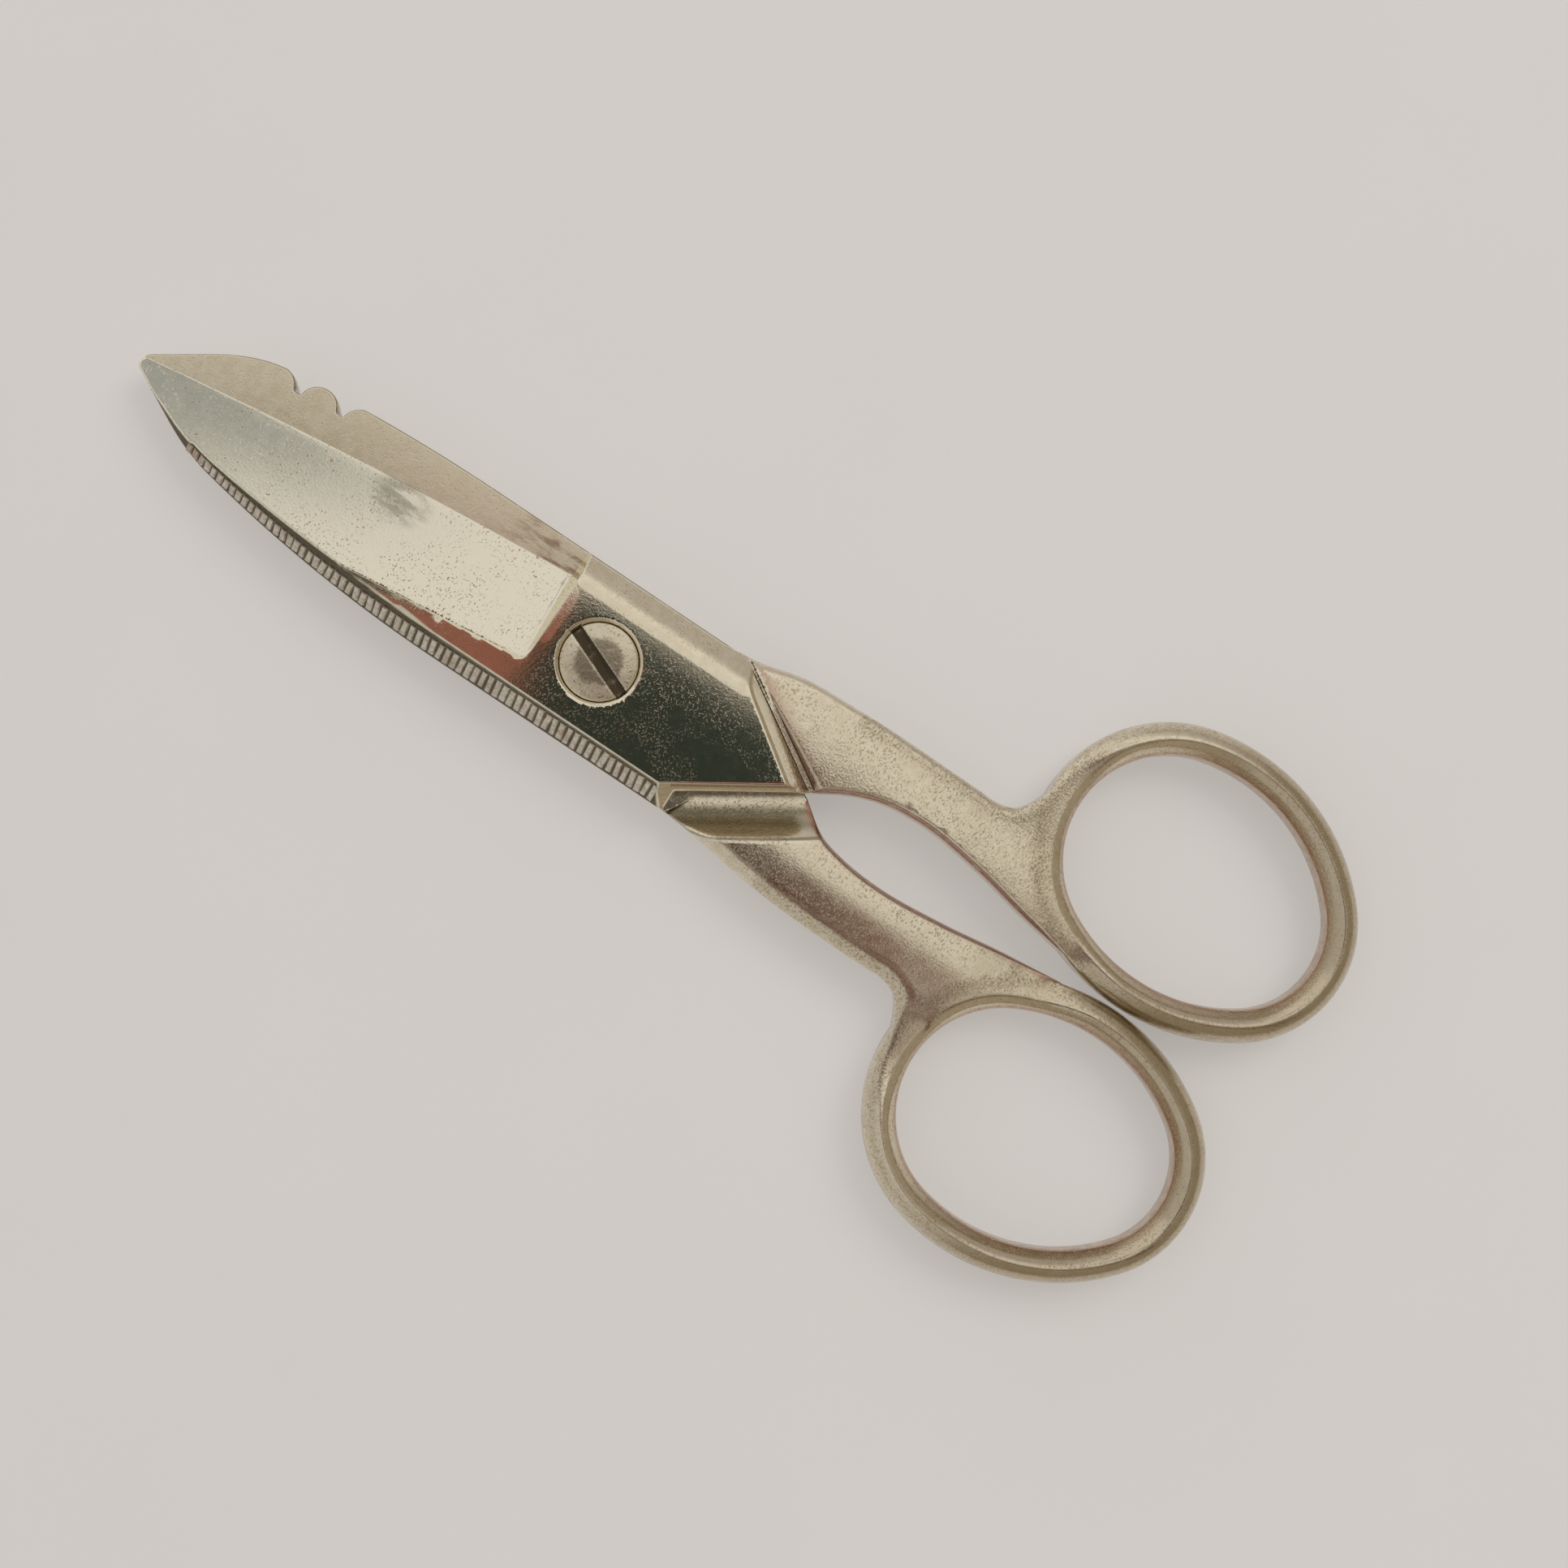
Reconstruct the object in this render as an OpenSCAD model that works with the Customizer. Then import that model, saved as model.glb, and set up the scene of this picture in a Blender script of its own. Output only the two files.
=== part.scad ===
/* [Pivot screw] */
// Diameter of the screw's plain bearing shank
shank_d = 5; // [4:0.1:6]
// Diameter of the threaded end that goes into the rear half
thread_d = 4; // [3:0.1:4.4]
// Diameter of the slotted head
head_d = 7.8; // [7:0.1:9]
// Thickness of the head
head_t = 1.6; // [1.2:0.1:2]
// Width of the screwdriver slot
slot_w = 1.1; // [0.8:0.1:1.6]
// Depth of the screwdriver slot
slot_depth = 0.8; // [0.5:0.1:1]
// Direction of the slot, from the blades' axis
slot_angle = -22; // [-90:1:90]

/* [Joint plate] */
// Thickness of one half at the joint
plate_t = 3.2; // [2.8:0.1:4]
// Distance from the pivot to the sloped wall's outer edge
wall_y = 8.4; // [8:0.1:9]
// Width of the sloped wall, seen from above
wall_w = 2.2; // [1.5:0.1:2.8]
// Drop of the sloped wall
wall_drop = 1.3; // [0.8:0.1:1.8]
// Distance behind the pivot of the plate's corner on the spine side
corner_x = 12.4; // [11:0.1:14]
// Distance behind the pivot of the crotch between the handles
crotch_x = 24.6; // [23:0.1:27]
// Offset of the front half's crotch to its handle's side
front_crotch_y = 0.9; // [0.6:0.1:1.2]
// Offset of the rear half's crotch to its handle's side
rear_crotch_y = -0.3; // [-0.5:0.1:0.9]
// How far the spine runs past the plate's corner
corner_lap = 0.8; // [0.4:0.1:1.2]
// Width of the bevel on the plate's slanting end
end_bevel_w = 0.7; // [0.4:0.1:1.2]

/* [Blades] */
// Distance from the pivot to the blade's tip
blade_l = 54.6; // [50:0.1:60]
// Distance from the pivot to the step where the ground face starts
heel_x = 7.2; // [6.5:0.1:9]
// Lean of the heel step, from upright
heel_lean = 20; // [10:1:30]
// Distance of the cutting edge from the axis at the heel
edge_heel_y = 5.9; // [5.4:0.1:6.4]
// Distance of the cutting edge from the axis at the tip
edge_tip_y = 0.5; // [0.2:0.1:0.8]
// Bow of the cutting edge between heel and tip
edge_bow = 0.5; // [0.2:0.1:0.8]
// Thickness left at the cutting edge
edge_t = 0.25; // [0.2:0.05:0.4]
// Width of the ground face at the heel
ground_w = 9.8; // [9:0.1:10.4]
// Radius of the rounded tip
tip_r = 0.75; // [0.6:0.05:0.9]
// Length of the straight stretch from the spine's arc to the tip
tip_l = 9; // [7:0.1:11]

/* [Spines] */
// Greatest distance of the spines from the axis
spine_y = 8.7; // [8.5:0.1:9]
// Height of the upright land under the spine's bevel
spine_land = 1; // [0.6:0.1:1.4]
// Width of the spine's bevel, seen from above
bevel_w = 1.75; // [1.4:0.05:2]
// Where the front spine's arc starts
front_arc_x = 14; // [11:0.5:18]
// Radius of the front spine's arc
front_arc_r = 150; // [140:1:200]
// Where the rear spine's arc starts
rear_arc_x = 18; // [14:0.5:22]
// Radius of the rear spine's arc
rear_arc_r = 200; // [180:1:260]

/* [File] */
// Distance behind the pivot where the file teeth start
file_back = 11.8; // [8:0.1:12]
// Pitch of the file teeth
tooth_pitch = 0.83; // [0.75:0.01:1.2]
// Depth of the grooves between the teeth
groove_depth = 0.2; // [0.1:0.05:0.3]
// Length from the front spine's arc start to the last tooth
file_front = 31.5; // [24:0.1:32]

/* [Stripping notches] */
// Distance from the pivot to the first notch
notch_x = 35.4; // [30:0.1:37]
// Distance between the two notches
notch_step = 4.7; // [4.4:0.1:5.2]
// Depth of the notches below the spine
notch_depth = 1.7; // [1.2:0.1:2]
// Radius of the lobes beside the notches
lobe_r = 2; // [1.6:0.1:2.4]

/* [Handles] */
// Thickness of the shank
handle_t = 4.6; // [4:0.1:5]
// Radius of the shank's crowned faces
crown_r = 14; // [10:1:30]
// Distance of the shank's outer edge from the axis
shank_out_y = 10.5; // [10:0.1:11.5]
// Distance of the front shank's inner edge from the axis at the waist
front_waist_y = 4.4; // [3.8:0.1:5]
// Distance of the rear shank's inner edge from the axis at the waist
rear_waist_y = 3.1; // [2.8:0.1:5]
// Length over which the front shank narrows to the plate's wall
front_taper_l = 15; // [12:0.5:28]
// Length over which the rear shank narrows to the plate's wall
rear_taper_l = 28; // [12:0.5:28]
// Width of the chamfer on the shank's outer edge
shank_chamfer = 1.1; // [0.6:0.1:1.6]
// Thickness of the web in the corner between shank and ring
web_t = 3; // [2:0.1:3.6]
// Length of the hollow shoulder ramp behind the other half's plate
ramp_l = 4.3; // [3.5:0.1:5.5]
// Width of the groove between plate and shank at the crotch
groove_w = 1.6; // [1:0.1:2]
// Reach of the fillet in the corner between shank and ring
fillet = 3; // [2:0.1:4]

/* [Finger rings] */
// Distance from the pivot to the ring's far end
ring_reach = 79.5; // [76:0.5:90]
// Half length of the ring's centre line
ring_half_l = 16; // [15:0.1:19]
// Radius of the ring's end beside the shank, on the centre line
ring_near_r = 12.4; // [11:0.1:13]
// Radius of the ring's far end, on the centre line
ring_far_r = 10.4; // [9:0.1:11]
// Radius of the ring's two sides, on the centre line
ring_side_r = 20; // [18:0.5:30]
// Tilt of the ring
ring_tilt = -7; // [-12:1:0]
// Width of the ring's section
ring_w = 3.4; // [2.8:0.1:3.8]
// Thickness of the ring's section
ring_t = 5; // [4.8:0.1:5.6]
// Width of the bevel inside the ring
ring_bevel_w = 1.3; // [0.9:0.1:1.5]
// Height of the land at the ring's inner edge
ring_land = 1.6; // [1:0.1:2.2]

/* [Clearances] */
// Gap between the halves at the joint
joint_gap = 0.1; // [0.05:0.01:0.2]
// Radial clearance of the screw's shank in the front half
pivot_clear = 0.05; // [0.02:0.01:0.1]
// Radial clearance of the screw's thread in the rear half
thread_clear = 0.02; // [0.01:0.01:0.05]
// Clearance round and under the screw's head
head_clear = 0.12; // [0.08:0.01:0.2]
// Gap between the rings when the scissors are closed
ring_gap = 0.3; // [0.2:0.05:0.6]
// Gap between the plate's end and the other half's shoulder, closed and as the plate's corner swings past
shoulder_clear = 0.3; // [0.2:0.05:0.6]

/* [Hidden] */
steel = [0.80, 0.77, 0.68];
screw_steel = [0.72, 0.69, 0.61];
$fn = 96;
arc_fn = 720;
far = 200;
spare = 1;
groove_rise = 0.04;
curve_steps = 6;
edge_steps = 16;
tip_steps = 12;
ring_steps = 72;
round_steps = 8;

// The middle of the handles' thickness, measured from a half's inner face
mid_z = -joint_gap / 2;

// The rounded tip: a circle between the cutting edge and the straight end of the spine
tip_c = [blade_l - tip_r, tip_r - edge_tip_y];

// The cutting edge: a chord from the heel to the tip's circle, and the arc that bows out from it
edge_run = [tip_c[0] - heel_x, edge_heel_y - edge_tip_y];
edge_angle = atan2(edge_run[1], edge_run[0]);
edge_chord = norm(edge_run);
edge_r = edge_chord * edge_chord / (8 * edge_bow) + edge_bow / 2;
ground_angle = atan2(plate_t - edge_t, ground_w);

// The plate's two slanting ends run from the crotch: one to the corner, one to where its groove fades out
end_corner = [-corner_x, spine_y - bevel_w];
groove_end = [-corner_x, -wall_y];

// The ring's four arcs: two end centres on its long axis, and side centres that make the arcs meet smoothly
ring_e = ring_half_l - (ring_near_r + ring_far_r) / 2;
ring_side_x = (ring_near_r - ring_far_r) * (2 * ring_side_r - ring_near_r - ring_far_r) / (4 * ring_e);
ring_side_y = sqrt(pow(ring_side_r - ring_near_r, 2) - pow(ring_e - ring_side_x, 2));
ring_near_a = atan2(ring_side_y, ring_e - ring_side_x);
ring_far_a = atan2(ring_side_y, ring_e + ring_side_x);
ring_c = [
    ring_w / 2 + ring_far_r + ring_e * cos(ring_tilt) - ring_reach,
    ring_side_y * cos(ring_tilt) - ring_side_x * sin(ring_tilt) - ring_side_r - ring_w / 2 - ring_gap / 2
];

// The ring's section: its crest, and the centre of the round outside that passes through it
ring_crest = -ring_w / 2 + ring_bevel_w;
ring_round_c = (pow(ring_w, 2) / 4 - pow(ring_crest, 2) - pow(ring_t, 2) / 4) / (ring_w - 2 * ring_crest);

// The handle's inner edge: shares of the way from crotch to ring, and of the waist's distance
handle_l = -crotch_x - ring_c[0];
inner_shares = [[0.09, 0.66], [0.17, 0.9], [0.27, 1], [0.46, 0.84], [0.64, 0.53], [0.83, 0.28]];

// The handle's outer edge: where it reaches the plate's wall, and shares of the way back and of the narrowing
taper_end_x = -0.75 * corner_x;
taper_shares = [[1, 0], [0.52, 0.25], [0.28, 0.7], [0, 1]];

// The fillet in the corner between shank and ring, in shares of its reach: from the ring's rim, and from the edge
rim_x = ring_c[0] + ring_e + ring_near_r + ring_w / 2;
fillet_shares = [[-1, -2], [-0.1, -1.3], [0.2, -0.7], [0.55, -0.22], [1.1, 0], [1.9, 0]];
fillet_end_x = rim_x + fillet_shares[len(fillet_shares) - 1][0] * fillet;

// The hollow shoulder ramp: a round hollow that starts level with the inner face
ramp_r = (ramp_l * ramp_l + handle_t * handle_t / 4) / handle_t;

// How far the plate's swinging corner reaches from the pivot
corner_reach = norm([corner_x + corner_lap, spine_y]);

// The crotch, the plate's slanting end and the groove's line of a half, with its crotch at an offset
function crotch(offset) = [-crotch_x, -offset];
function angle_to(point, offset) =
    atan2(point[1] - crotch(offset)[1], point[0] - crotch(offset)[0]);

// A smooth line through the points of a list: the run to the next point, the heading at a point, the line
function run(p, i) = p[i + 1] - p[i];
function heading(p, i) = i == 0 ? run(p, 0) / norm(run(p, 0))
    : i == len(p) - 1 ? run(p, i - 1) / norm(run(p, i - 1))
    : let (before = norm(run(p, i - 1)), after = norm(run(p, i)))
        (run(p, i) * before / after + run(p, i - 1) * after / before) / (before + after);
function between(a, b, from, to, t) = let (l = norm(b - a))
    a + (b - a) * t * t * (3 - 2 * t) + l * t * (1 - t) * ((1 - t) * from - t * to);
function curve(p) = concat(
    [for (i = [0:len(p) - 2], s = [0:curve_steps - 1])
        between(p[i], p[i + 1], heading(p, i), heading(p, i + 1), s / curve_steps)],
    [p[len(p) - 1]]
);

// Height of a spine above the axis, at a distance from the pivot
function spine_at(x, arc_x, arc_r) =
    x < arc_x ? spine_y : spine_y - arc_r + sqrt(arc_r * arc_r - (x - arc_x) * (x - arc_x));

// A half-space under a slanting plane: the plane holds the X axis and leans by the angle
module above(angle) {
    rotate([angle, 0, 0]) translate([-far, -far, 0]) cube([2 * far, 2 * far, far]);
}

// The blade and plate seen from above, wider than the spine's arc, with the bowed edge and the round tip
module blade_plan(spine_end_y) {
    shoulder_x = blade_l - tip_l;
    shoulder_run = [tip_c[0] - shoulder_x, spine_end_y - tip_c[1]];
    tip_lean = atan2(shoulder_run[1], shoulder_run[0]) - asin(tip_r / norm(shoulder_run));
    bow_a = asin(edge_chord / 2 / edge_r);
    bow_c = [(heel_x + tip_c[0]) / 2, -(edge_heel_y + edge_tip_y) / 2]
        + (edge_r - edge_bow) * [-sin(edge_angle), cos(edge_angle)];
    polygon(concat(
        [[-crotch_x - spare, spine_y + spare]],
        [[shoulder_x - (spine_y + spare - spine_end_y) / tan(tip_lean), spine_y + spare]],
        [for (s = [0:tip_steps]) let (a = 90 - tip_lean - s / tip_steps * (180 - tip_lean))
            tip_c + tip_r * [cos(a), sin(a)]],
        [for (s = [1:edge_steps - 1]) let (a = edge_angle + bow_a * (1 - 2 * s / edge_steps))
            bow_c + edge_r * [sin(a), -cos(a)]],
        [[heel_x, -edge_heel_y], [heel_x, -wall_y], [-crotch_x - spare, -wall_y]]
    ));
}

// The plate's and the spine's slopes: straight behind the arc's start, a cone along the arc
module blade_slopes(arc_x, arc_r) {
    bevel_h = plate_t - spine_land;
    translate([-far, 0, 0]) rotate([90, 0, 90]) linear_extrude(far + arc_x) polygon([
        [-wall_y, 0], [spine_y, 0], [spine_y, spine_land], [spine_y - bevel_w, plate_t],
        [wall_w - wall_y, plate_t], [-wall_y, plate_t - wall_drop]
    ]);
    intersection() {
        translate([arc_x, spine_y - arc_r, 0]) rotate_extrude($fn = arc_fn) polygon([
            [0, 0], [arc_r, 0], [arc_r, spine_land], [arc_r - bevel_w, spine_land + bevel_h], [0, plate_t]
        ]);
        translate([arc_x, -wall_y, 0]) cube([far, 2 * far, plate_t]);
    }
}

// The hollow of the ground face: above its plane and in front of the leaning heel step
module ground_cut() {
    intersection() {
        translate([heel_x, -edge_heel_y, edge_t]) rotate(edge_angle) above(ground_angle);
        translate([heel_x, 0, edge_t]) rotate([0, -heel_lean, 0]) translate([0, -far, -far]) cube(2 * far);
    }
}

// What lies behind the plate's two slanting ends, with their bevels
module end_cuts(crotch_y) {
    translate([-crotch_x, -crotch_y, 0]) {
        rotate(angle_to(groove_end, crotch_y)) mirror([0, 1, 0]) beyond(groove_w / 2);
        intersection() {
            rotate(angle_to(end_corner, crotch_y)) beyond(end_bevel_w);
            translate([-far, -far, -far]) cube([far + crotch_x - corner_x - corner_lap, 2 * far, 2 * far]);
        }
    }
}

// What lies beyond the X axis, and above a bevel along it
module beyond(bevel) {
    translate([-far, 0, -far]) cube(2 * far);
    translate([0, -bevel, plate_t]) above(-45);
}

// The blade and plate of one half, as a forged blank with its ground face
module blade(arc_x, arc_r, crotch_y) {
    difference() {
        intersection() {
            linear_extrude(plate_t) blade_plan(spine_at(blade_l - tip_l, arc_x, arc_r));
            blade_slopes(arc_x, arc_r);
        }
        ground_cut();
        end_cuts(crotch_y);
    }
}

// The shank seen from above: from under the plate to the middle of the ring's section
module shank_plan(crotch_y, waist_y, taper_l) {
    inner = curve(concat(
        [crotch(crotch_y)],
        [for (p = inner_shares) [-crotch_x - p[0] * handle_l, -p[1] * waist_y]]
    ));
    taper = [for (p = taper_shares)
        [taper_end_x - p[0] * taper_l, p[1] * (shank_out_y - wall_y) - shank_out_y]];
    corner = [for (p = fillet_shares) let (x = rim_x + p[0] * fillet) [x, lookup(x, taper) + p[1] * fillet]];
    outer = curve(concat(corner, [for (p = taper) if (p[0] > fillet_end_x) p]));
    difference() {
        polygon(concat(inner, outer, [[-corner_x, -edge_heel_y]]));
        translate(ring_c) rotate(ring_tilt) ring_plan();
    }
}

// The space inside the ring's centre line
module ring_plan() {
    middle = [for (i = [0:ring_steps - 1]) ring_point(360 * (i + 0.5) / ring_steps, [0, 0])];
    polygon([for (p = middle) [p[0], p[1]]]);
}

// The shank's section: crowned faces and a chamfered outer edge
module shank_section(waist_y) {
    half_t = handle_t / 2;
    middle_y = -(shank_out_y + waist_y) / 2;
    intersection() {
        translate([middle_y, half_t - crown_r]) circle(crown_r);
        translate([middle_y, crown_r - half_t]) circle(crown_r);
        polygon([
            [-shank_out_y, shank_chamfer - half_t], [shank_chamfer - shank_out_y, -half_t], [0, -half_t],
            [0, half_t], [shank_chamfer - shank_out_y, half_t], [-shank_out_y, half_t - shank_chamfer]
        ]);
    }
}

// The shank of one half, with the ramp that clears the other half's plate
module shank(crotch_y, other_crotch_y, waist_y, taper_l) {
    difference() {
        intersection() {
            translate([0, 0, mid_z - handle_t]) linear_extrude(2 * handle_t)
                shank_plan(crotch_y, waist_y, taper_l);
            union() {
                translate([-far, 0, mid_z]) rotate([90, 0, 90]) linear_extrude(far) shank_section(waist_y);
                translate([ring_c[0], 2 * ring_c[1], mid_z - web_t / 2])
                    cube([-crotch_x - ring_c[0], -shank_out_y + shank_chamfer - 2 * ring_c[1], web_t]);
            }
        }
        ramp_cut(other_crotch_y);
        translate([0, 0, -far]) cylinder(r = corner_reach + shoulder_clear, h = far);
    }
}

// What lies over the hollow shoulder ramp, which starts at the other half's slanting end
module ramp_cut(other_crotch_y) {
    translate([-crotch_x, other_crotch_y, 0]) rotate(-angle_to(end_corner, other_crotch_y))
        translate([0, -shoulder_clear, 0]) {
            translate([-far, 0, -far]) cube([2 * far, far, far]);
            translate([0, 0, -ramp_r]) rotate([0, 90, 0]) cylinder(r = ramp_r, h = 2 * far, center = true);
        }
}

// The arc of the ring's centre line that faces a direction: its centre and its radius
function ring_arc(turn) =
    turn < ring_near_a || turn > 360 - ring_near_a ? [[ring_e, 0], ring_near_r]
    : abs(turn - 180) < ring_far_a ? [[-ring_e, 0], ring_far_r]
    : [[ring_side_x, -sign(sin(turn)) * ring_side_y], ring_side_r];

// A point of the ring's section, at a direction from the ring's middle
function ring_point(turn, p) = let (arc = ring_arc(turn), reach = arc[1] + p[0])
    [arc[0][0] + reach * cos(turn), arc[0][1] + reach * sin(turn), p[1]];

// The ring's section: round outside, bevelled inside
function ring_section() = let (
    round_r = ring_w / 2 - ring_round_c,
    sweep = asin(ring_t / 2 / round_r)
) concat(
    [for (s = [0:round_steps]) let (a = sweep * (2 * s / round_steps - 1))
        [ring_round_c + round_r * cos(a), round_r * sin(a)]],
    [[-ring_w / 2, ring_land / 2], [-ring_w / 2, -ring_land / 2]]
);

// One finger ring: the section swept round two side arcs and two end arcs
module ring() {
    section = ring_section();
    n = len(section);
    translate([ring_c[0], ring_c[1], mid_z]) rotate(ring_tilt) polyhedron(
        points = [for (i = [0:ring_steps - 1], p = section) ring_point(360 * (i + 0.5) / ring_steps, p)],
        faces = [for (i = [0:ring_steps - 1], j = [0:n - 1], side = [0, 1]) let (
            here = i * n,
            next = (i + 1) % ring_steps * n,
            up = (j + 1) % n
        ) side == 0 ? [here + j, here + up, next + up] : [here + j, next + up, next + j]]
    );
}

// The cut for the groove between plate and shank, deepest at the crotch
module shank_groove(crotch_y) {
    lean = -atan2(groove_w / 2, norm(groove_end - crotch(crotch_y)));
    translate([groove_end[0], groove_end[1], mid_z + (handle_t + groove_w) / 2])
        rotate(angle_to(groove_end, crotch_y))
        rotate([0, lean, 0]) rotate([45, 0, 0])
            cube([far, groove_w / sqrt(2), groove_w / sqrt(2)], center = true);
}

// One half without its own details: blade, plate, shank and ring
module half(arc_x, arc_r, crotch_y, other_crotch_y, waist_y, taper_l) {
    difference() {
        union() {
            blade(arc_x, arc_r, crotch_y);
            shank(crotch_y, other_crotch_y, waist_y, taper_l);
            ring();
        }
        shank_groove(crotch_y);
    }
}

// The grooves between the file teeth, square to the spine: a comb on the straight stretch, bars along the arc
module file_grooves() {
    bevel_h = plate_t - spine_land;
    groove_l = norm([bevel_h, bevel_w]) + spare;
    lean = -atan2(bevel_h, bevel_w);
    back_count = floor((front_arc_x + file_back) / tooth_pitch);
    teeth = [for (i = [0:back_count]) front_arc_x - (i + 0.5) * tooth_pitch];
    translate([0, spine_y - bevel_w / 2, spine_land + bevel_h / 2]) rotate([lean, 0, 0]) rotate([90, 0, 0])
        linear_extrude(groove_l, center = true) polygon(concat(
            [[teeth[back_count] - tooth_pitch, plate_t], [front_arc_x, plate_t]],
            [for (x = teeth, side = [1, 0, -1]) let (half_w = abs(side) * (groove_depth + groove_rise))
                [x + side * half_w, half_w - groove_depth]]
        ));
    for (i = [0:floor(file_front / tooth_pitch)])
        translate([front_arc_x, spine_y - front_arc_r, spine_land + bevel_h / 2])
            rotate(-(i + 0.5) * tooth_pitch / front_arc_r * 180 / PI)
                translate([0, front_arc_r - bevel_w / 2, 0]) rotate([lean, 0, 0]) rotate([0, 45, 0])
                    cube([groove_depth * sqrt(2), groove_l, groove_depth * sqrt(2)], center = true);
}

// The two stripping notches: each is what lies above its floor and between two round lobes
module notches() {
    translate([0, 0, -plate_t]) linear_extrude(3 * plate_t) for (i = [0, 1]) difference() {
        translate([notch_x + (i - 0.5) * notch_step, notch_spine(i) - notch_depth])
            square([notch_step, spine_y]);
        for (side = [i - 0.5, i + 0.5]) translate([notch_x + side * notch_step, notch_spine(side) - lobe_r])
            circle(lobe_r);
    }
}

// Height of the rear spine at a notch, or at a lobe between two
function notch_spine(i) = spine_at(notch_x + i * notch_step, rear_arc_x, rear_arc_r);

module front_blade() {
    color(steel) translate([0, 0, plate_t + joint_gap]) difference() {
        half(front_arc_x, front_arc_r, front_crotch_y, rear_crotch_y, front_waist_y, front_taper_l);
        file_grooves();
        translate([0, 0, -plate_t]) cylinder(d = shank_d + 2 * pivot_clear, h = 3 * plate_t);
        translate([0, 0, plate_t - head_t - head_clear]) cylinder(d = head_d + 2 * head_clear, h = plate_t);
    }
}

module rear_blade() {
    color(steel) translate([0, 0, plate_t]) rotate([180, 0, 0]) difference() {
        half(rear_arc_x, rear_arc_r, rear_crotch_y, front_crotch_y, rear_waist_y, rear_taper_l);
        notches();
        translate([0, 0, -plate_t]) cylinder(d = thread_d + 2 * thread_clear, h = 3 * plate_t);
    }
}

module pivot_screw() {
    top_z = 2 * plate_t + joint_gap;
    color(screw_steel) difference() {
        union() {
            cylinder(d = thread_d, h = top_z - head_t);
            translate([0, 0, plate_t]) cylinder(d = shank_d, h = top_z - head_t / 2 - plate_t);
            translate([0, 0, top_z - head_t]) cylinder(d = head_d, h = head_t);
        }
        translate([0, 0, top_z]) rotate(slot_angle) cube([2 * head_d, slot_w, 2 * slot_depth], center = true);
    }
}

front_blade();
rear_blade();
pivot_screw();
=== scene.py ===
# %% [markdown]
# # Electrician's scissors, nickel plated and worn
# A short, stout pair of scissors: a front half and a rear half of forged steel, and one slotted screw
# that they turn on. The CAD model is loaded first and stays as the fixed frame. Each piece here takes the
# place of one CAD solid, at the same spot and of the same size, with the soft edges, the file teeth and
# the finish of a tool that has been used for years.

# %% Load the frame
from math import asin, atan2, cos, hypot, pi, radians, sin, sqrt, tan

import bpy
import numpy as np
from mathutils import Matrix, Vector, geometry, kdtree


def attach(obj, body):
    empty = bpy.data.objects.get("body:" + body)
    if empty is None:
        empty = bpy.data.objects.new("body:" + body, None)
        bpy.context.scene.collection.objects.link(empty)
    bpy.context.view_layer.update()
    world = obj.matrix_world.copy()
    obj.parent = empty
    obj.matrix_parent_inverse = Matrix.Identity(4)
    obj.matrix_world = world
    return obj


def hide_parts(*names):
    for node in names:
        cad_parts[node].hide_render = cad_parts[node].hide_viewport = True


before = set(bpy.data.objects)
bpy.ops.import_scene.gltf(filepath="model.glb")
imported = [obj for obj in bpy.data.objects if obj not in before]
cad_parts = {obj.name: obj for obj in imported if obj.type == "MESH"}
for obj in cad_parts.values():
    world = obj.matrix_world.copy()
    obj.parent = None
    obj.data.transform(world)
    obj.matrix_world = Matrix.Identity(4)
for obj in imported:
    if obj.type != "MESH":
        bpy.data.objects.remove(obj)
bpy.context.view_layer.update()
MM = 0.001

# %% [markdown]
# ## One half, as numbers
# The halves are near twins: the same forging in outline, with a spine, a crotch and a handle that differ
# by a little. So a half is drawn once, from sizes that both share and a few of its own, lying on its inner
# face: X runs from the pivot to the tip, the spine is on +Y, the cutting edge and the handle on -Y, and Z
# is the thickness. All sizes are in millimetres until a mesh is made.

# %% Sizes of the blade and the plate
PLATE_T, JOINT_GAP = 3.2, 0.1
MID_Z = -JOINT_GAP / 2
WALL_Y, WALL_W, WALL_DROP = 8.4, 2.2, 1.3
CORNER_X, CORNER_LAP, CROTCH_X, END_BEVEL = 12.4, 0.8, 24.6, 0.7
BLADE_L, HEEL_X, HEEL_LEAN = 54.6, 7.2, radians(20)
EDGE_HEEL_Y, EDGE_TIP_Y, EDGE_BOW, EDGE_T, GROUND_W, HOLLOW = 5.9, 0.5, 0.5, 0.25, 9.8, 0.1
TIP_R, TIP_L = 0.75, 9
SPINE_Y, SPINE_LAND, BEVEL_W = 8.7, 1.0, 1.75
BEVEL_SLOPE = (PLATE_T - SPINE_LAND) / BEVEL_W
FILE_BACK, FILE_END, TOOTH_PITCH, TOOTH_H = -11.8, 45.5, 0.83, 0.2
NOTCH_X, NOTCH_STEP, NOTCH_DEPTH, LOBE_R = 35.4, 4.7, 1.7, 2.0
print("blade:", BLADE_L, "mm from pivot to tip")

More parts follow.
